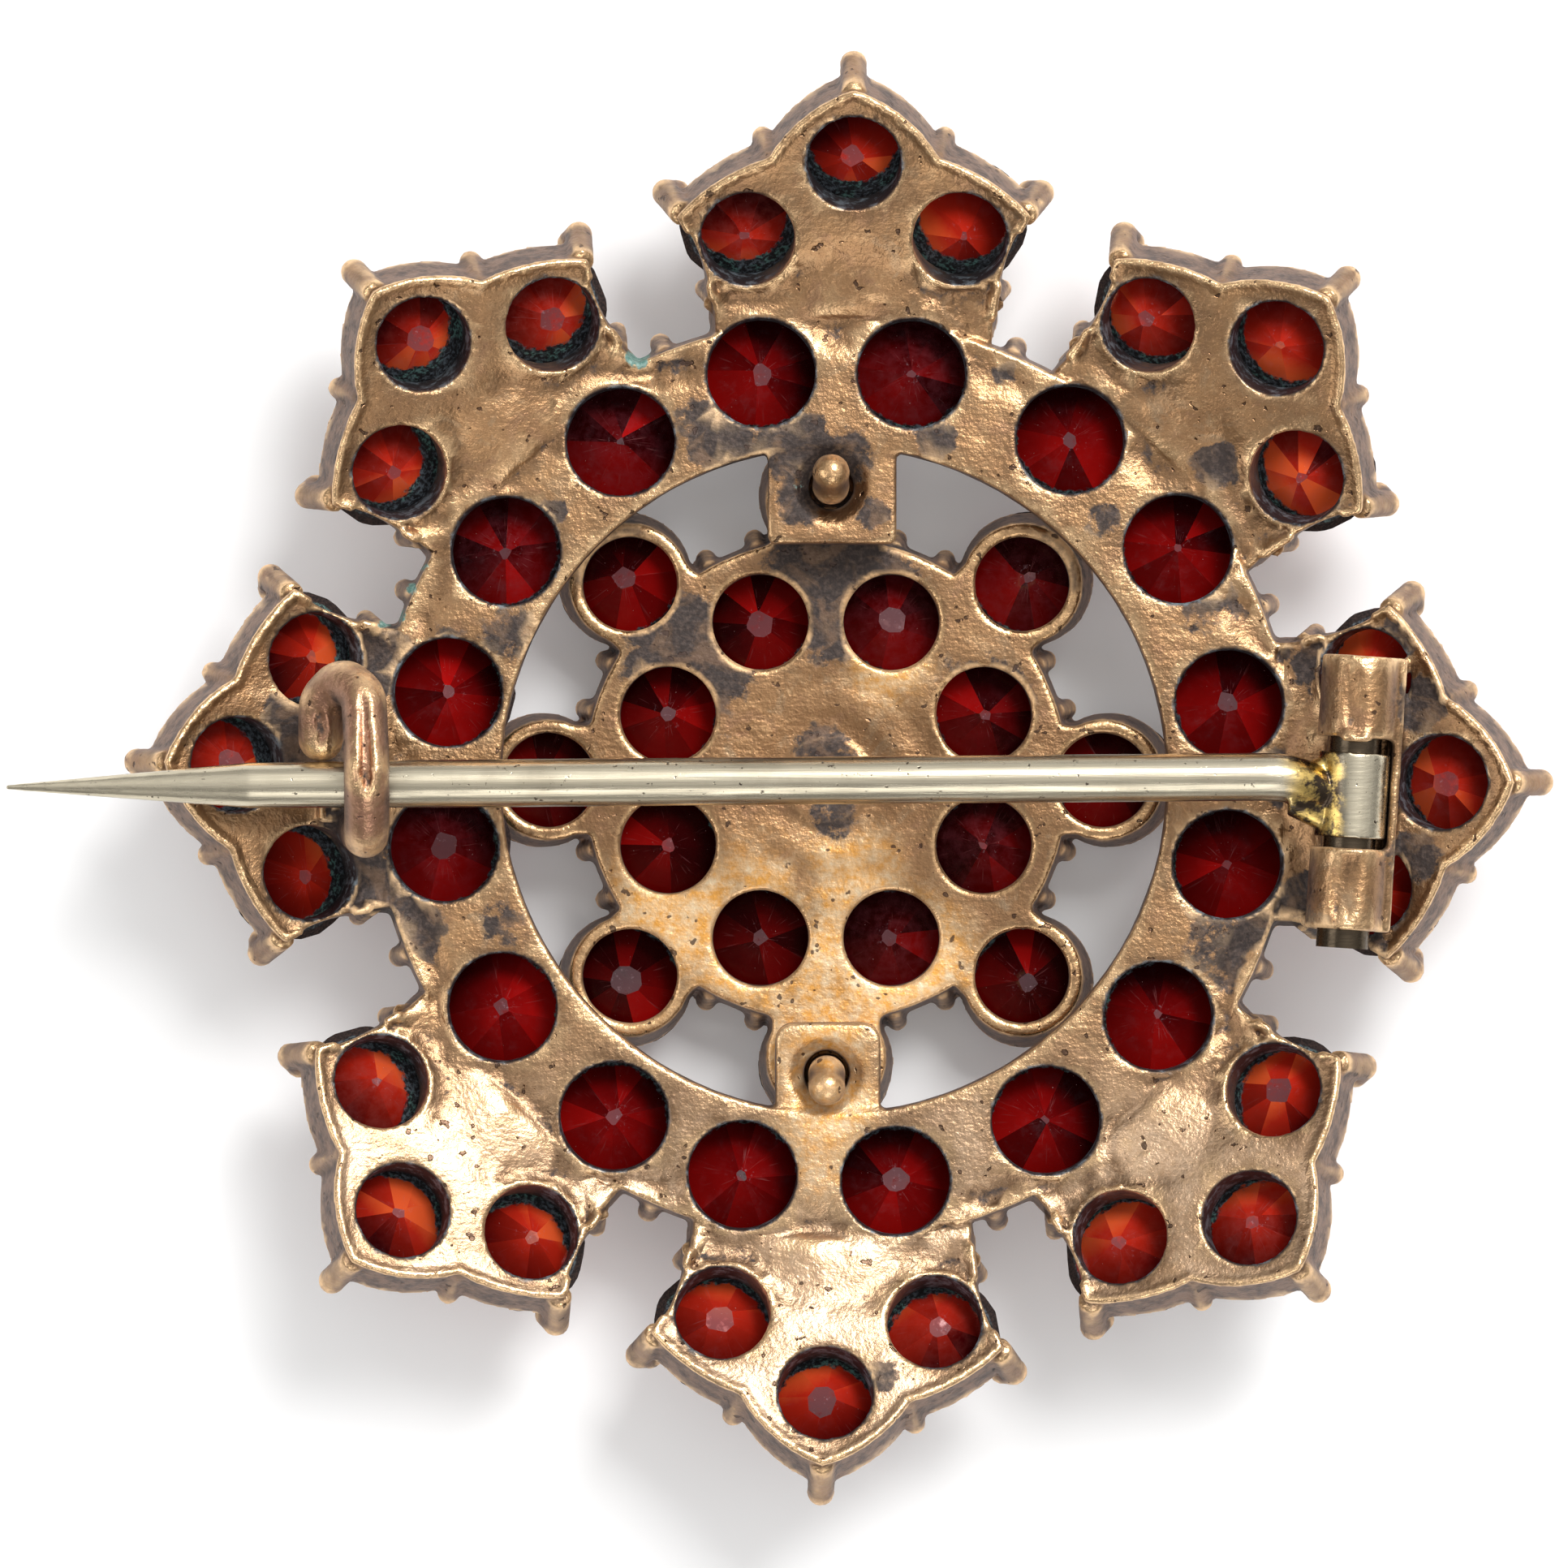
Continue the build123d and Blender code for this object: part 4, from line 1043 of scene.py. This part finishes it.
def wire_material(name, tint, dark):
    """Drawn nickel silver: streaks and scratches along it, pits, and solder at its root."""
    material, tree, surface, vector = new_material(name)
    along = place_group(
        tree, scratch_group, {"Vector": vector, "Stretch": (260, 9000, 9000)}
    )
    spots_seen = noise_of(tree, vector, 5200.0, 3.0, 0.6)
    cloud = noise_of(tree, vector, 600.0, 4.0, 0.6)
    body = mixed(tree, math_of(tree, "MULTIPLY", along["Scratch"], 0.45), tint, dark)
    body = mixed(tree, math_of(tree, "MULTIPLY", stepped(tree, cloud, 0.5, 0.75), 0.4), body, dark)
    pit = stepped(tree, spots_seen, 0.65, 0.71)
    body = mixed(tree, pit, body, (0.08, 0.06, 0.045, 1))
    blobs = noise_of(tree, vector, 1900.0, 4.0, 0.65)
    solder = mixed(tree, stepped(tree, blobs, 0.45, 0.55), (0.07, 0.05, 0.035, 1), (0.72, 0.5, 0.16, 1))
    solder = mixed(tree, stepped(tree, cloud, 0.5, 0.62), solder, (0.3, 0.26, 0.2, 1))
    body = mixed(tree, written(tree, "solder"), body, solder)
    rough = math_of(tree, "ADD", 0.2, math_of(tree, "MULTIPLY", along["Scratch"], 0.18))
    height = math_of(tree, "SUBTRACT", along["Scratch"], pit)
    relief = add_node(
        tree, "ShaderNodeBump", {"Height": height, "Strength": 0.35, "Distance": 0.01 * mm}
    )
    tree.links.new(body, surface.inputs["Base Color"])
    tree.links.new(rough, surface.inputs["Roughness"])
    tree.links.new(relief.outputs[0], surface.inputs["Normal"])
    surface.inputs["Metallic"].default_value = 1.0
    return material


def dress_pin(wire, dark):
    """The stem and its knuckle, softened where they are soldered."""
    stem = copy_of("pin_stem", "pin_wire")
    cast(stem, stem_voxel, stem_triangles, stem_unevenness)
    points = points_of(stem)
    root = smoothstep(*solder_start, points[:, 0] + 0.3 * np.abs(points[:, 1]))
    root *= smoothstep(*solder_end, points[:, 0])
    write_mask(stem, "solder", root)
    stem.data.materials.append(wire)
    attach(stem, "pin")
    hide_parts("pin_stem")
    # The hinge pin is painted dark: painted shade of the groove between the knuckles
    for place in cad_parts["hinge_pin"].material_slots:
        place.material = dark


# Table, lights and camera


def make_stage():
    """A plain pale table under the brooch."""
    deselect()
    bpy.ops.mesh.primitive_plane_add(size=1.2, location=(0, 0, 0))
    table = bpy.context.object
    table.name = "table"
    material, tree, surface, vector = new_material("pale_table")
    fleck = noise_of(tree, vector, 90.0, 3.0, 0.5)
    tree.links.new(
        mixed(tree, fleck, (0.86, 0.86, 0.86, 1), (0.89, 0.89, 0.885, 1)),
        surface.inputs["Base Color"],
    )
    surface.inputs["Roughness"].default_value = 0.7
    surface.inputs["Emission Color"].default_value = (1, 1, 1, 1)
    surface.inputs["Emission Strength"].default_value = 0.13
    table.data.materials.append(material)


Lamp = namedtuple("Lamp", "name place size energy")
lamps = [
    Lamp("key", (0.1, 0.16, 0.26), 0.12, 0.75),
    Lamp("fill", (-0.22, -0.02, 0.2), 0.16, 0.16),
    Lamp("front", (0.03, -0.22, 0.2), 0.16, 0.16),
]

# The way to the room's palest part
bright_side = (0.36, 0.5, 0.788)


def make_lights():
    """A large soft key from the upper right, two fills, and a room that is paler there."""
    for lamp in lamps:
        data = bpy.data.lights.new(lamp.name, "AREA")
        data.size = lamp.size
        data.energy = lamp.energy
        light = bpy.data.objects.new(lamp.name, data)
        bpy.context.scene.collection.objects.link(light)
        light.location = lamp.place
        light.rotation_euler = (-Vector(lamp.place)).to_track_quat("-Z", "Y").to_euler()
    world = bpy.data.worlds.new("room")
    world.use_nodes = True
    tree = world.node_tree
    heading = add_node(tree, "ShaderNodeTexCoord").outputs["Generated"]
    towards_key = arrow_math(tree, "DOT_PRODUCT", heading, bright_side)
    strength = add_node(
        tree,
        "ShaderNodeMapRange",
        {"Value": towards_key, "From Min": 0.45, "From Max": 1.0, "To Min": 0.3, "To Max": 1.15},
    ).outputs[0]
    tree.links.new(strength, tree.nodes["Background"].inputs["Strength"])
    tree.nodes["Background"].inputs["Color"].default_value = (1, 1, 1, 1)
    bpy.context.scene.world = world
    bpy.context.scene.view_settings.view_transform = "Standard"


def make_camera():
    """The camera looks straight down on the brooch's back."""
    data = bpy.data.cameras.new("camera")
    data.sensor_width = sensor_width
    data.lens = sensor_width * camera_distance / view_width
    data.clip_start = 0.01
    data.clip_end = 10
    camera = bpy.data.objects.new("camera", data)
    camera.location = (view_middle[0], view_middle[1], view_level + camera_distance)
    bpy.context.scene.collection.objects.link(camera)
    bpy.context.scene.camera = camera


deselect()
make_camera()
make_lights()
make_stage()
gilt = gilt_material(
    "gilt_tombac",
    metal=(0.54, 0.31, 0.15, 1),
    worn=(0.86, 0.57, 0.31, 1),
    wall=(0.23, 0.145, 0.105, 1),
    bump=0.62,
)
inner_gilt = gilt_material(
    "inner_gilt",
    metal=(0.38, 0.215, 0.105, 1),
    worn=(0.78, 0.49, 0.25, 1),
    wall=(0.18, 0.11, 0.08, 1),
    bump=0.5,
)
nickel = wire_material(
    "nickel_silver", tint=(0.64, 0.575, 0.435, 1), dark=(0.26, 0.215, 0.15, 1)
)
# Nickel silver painted dark, as painted shade on the hinge pin
dull_nickel = wire_material(
    "dull_nickel_silver", tint=(0.1, 0.075, 0.05, 1), dark=(0.03, 0.024, 0.018, 1)
)
dress_outer_frame(gilt)
dress_inner_star(inner_gilt)
dress_pin(nickel, dull_nickel)
dress_stones()

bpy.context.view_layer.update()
deselect()
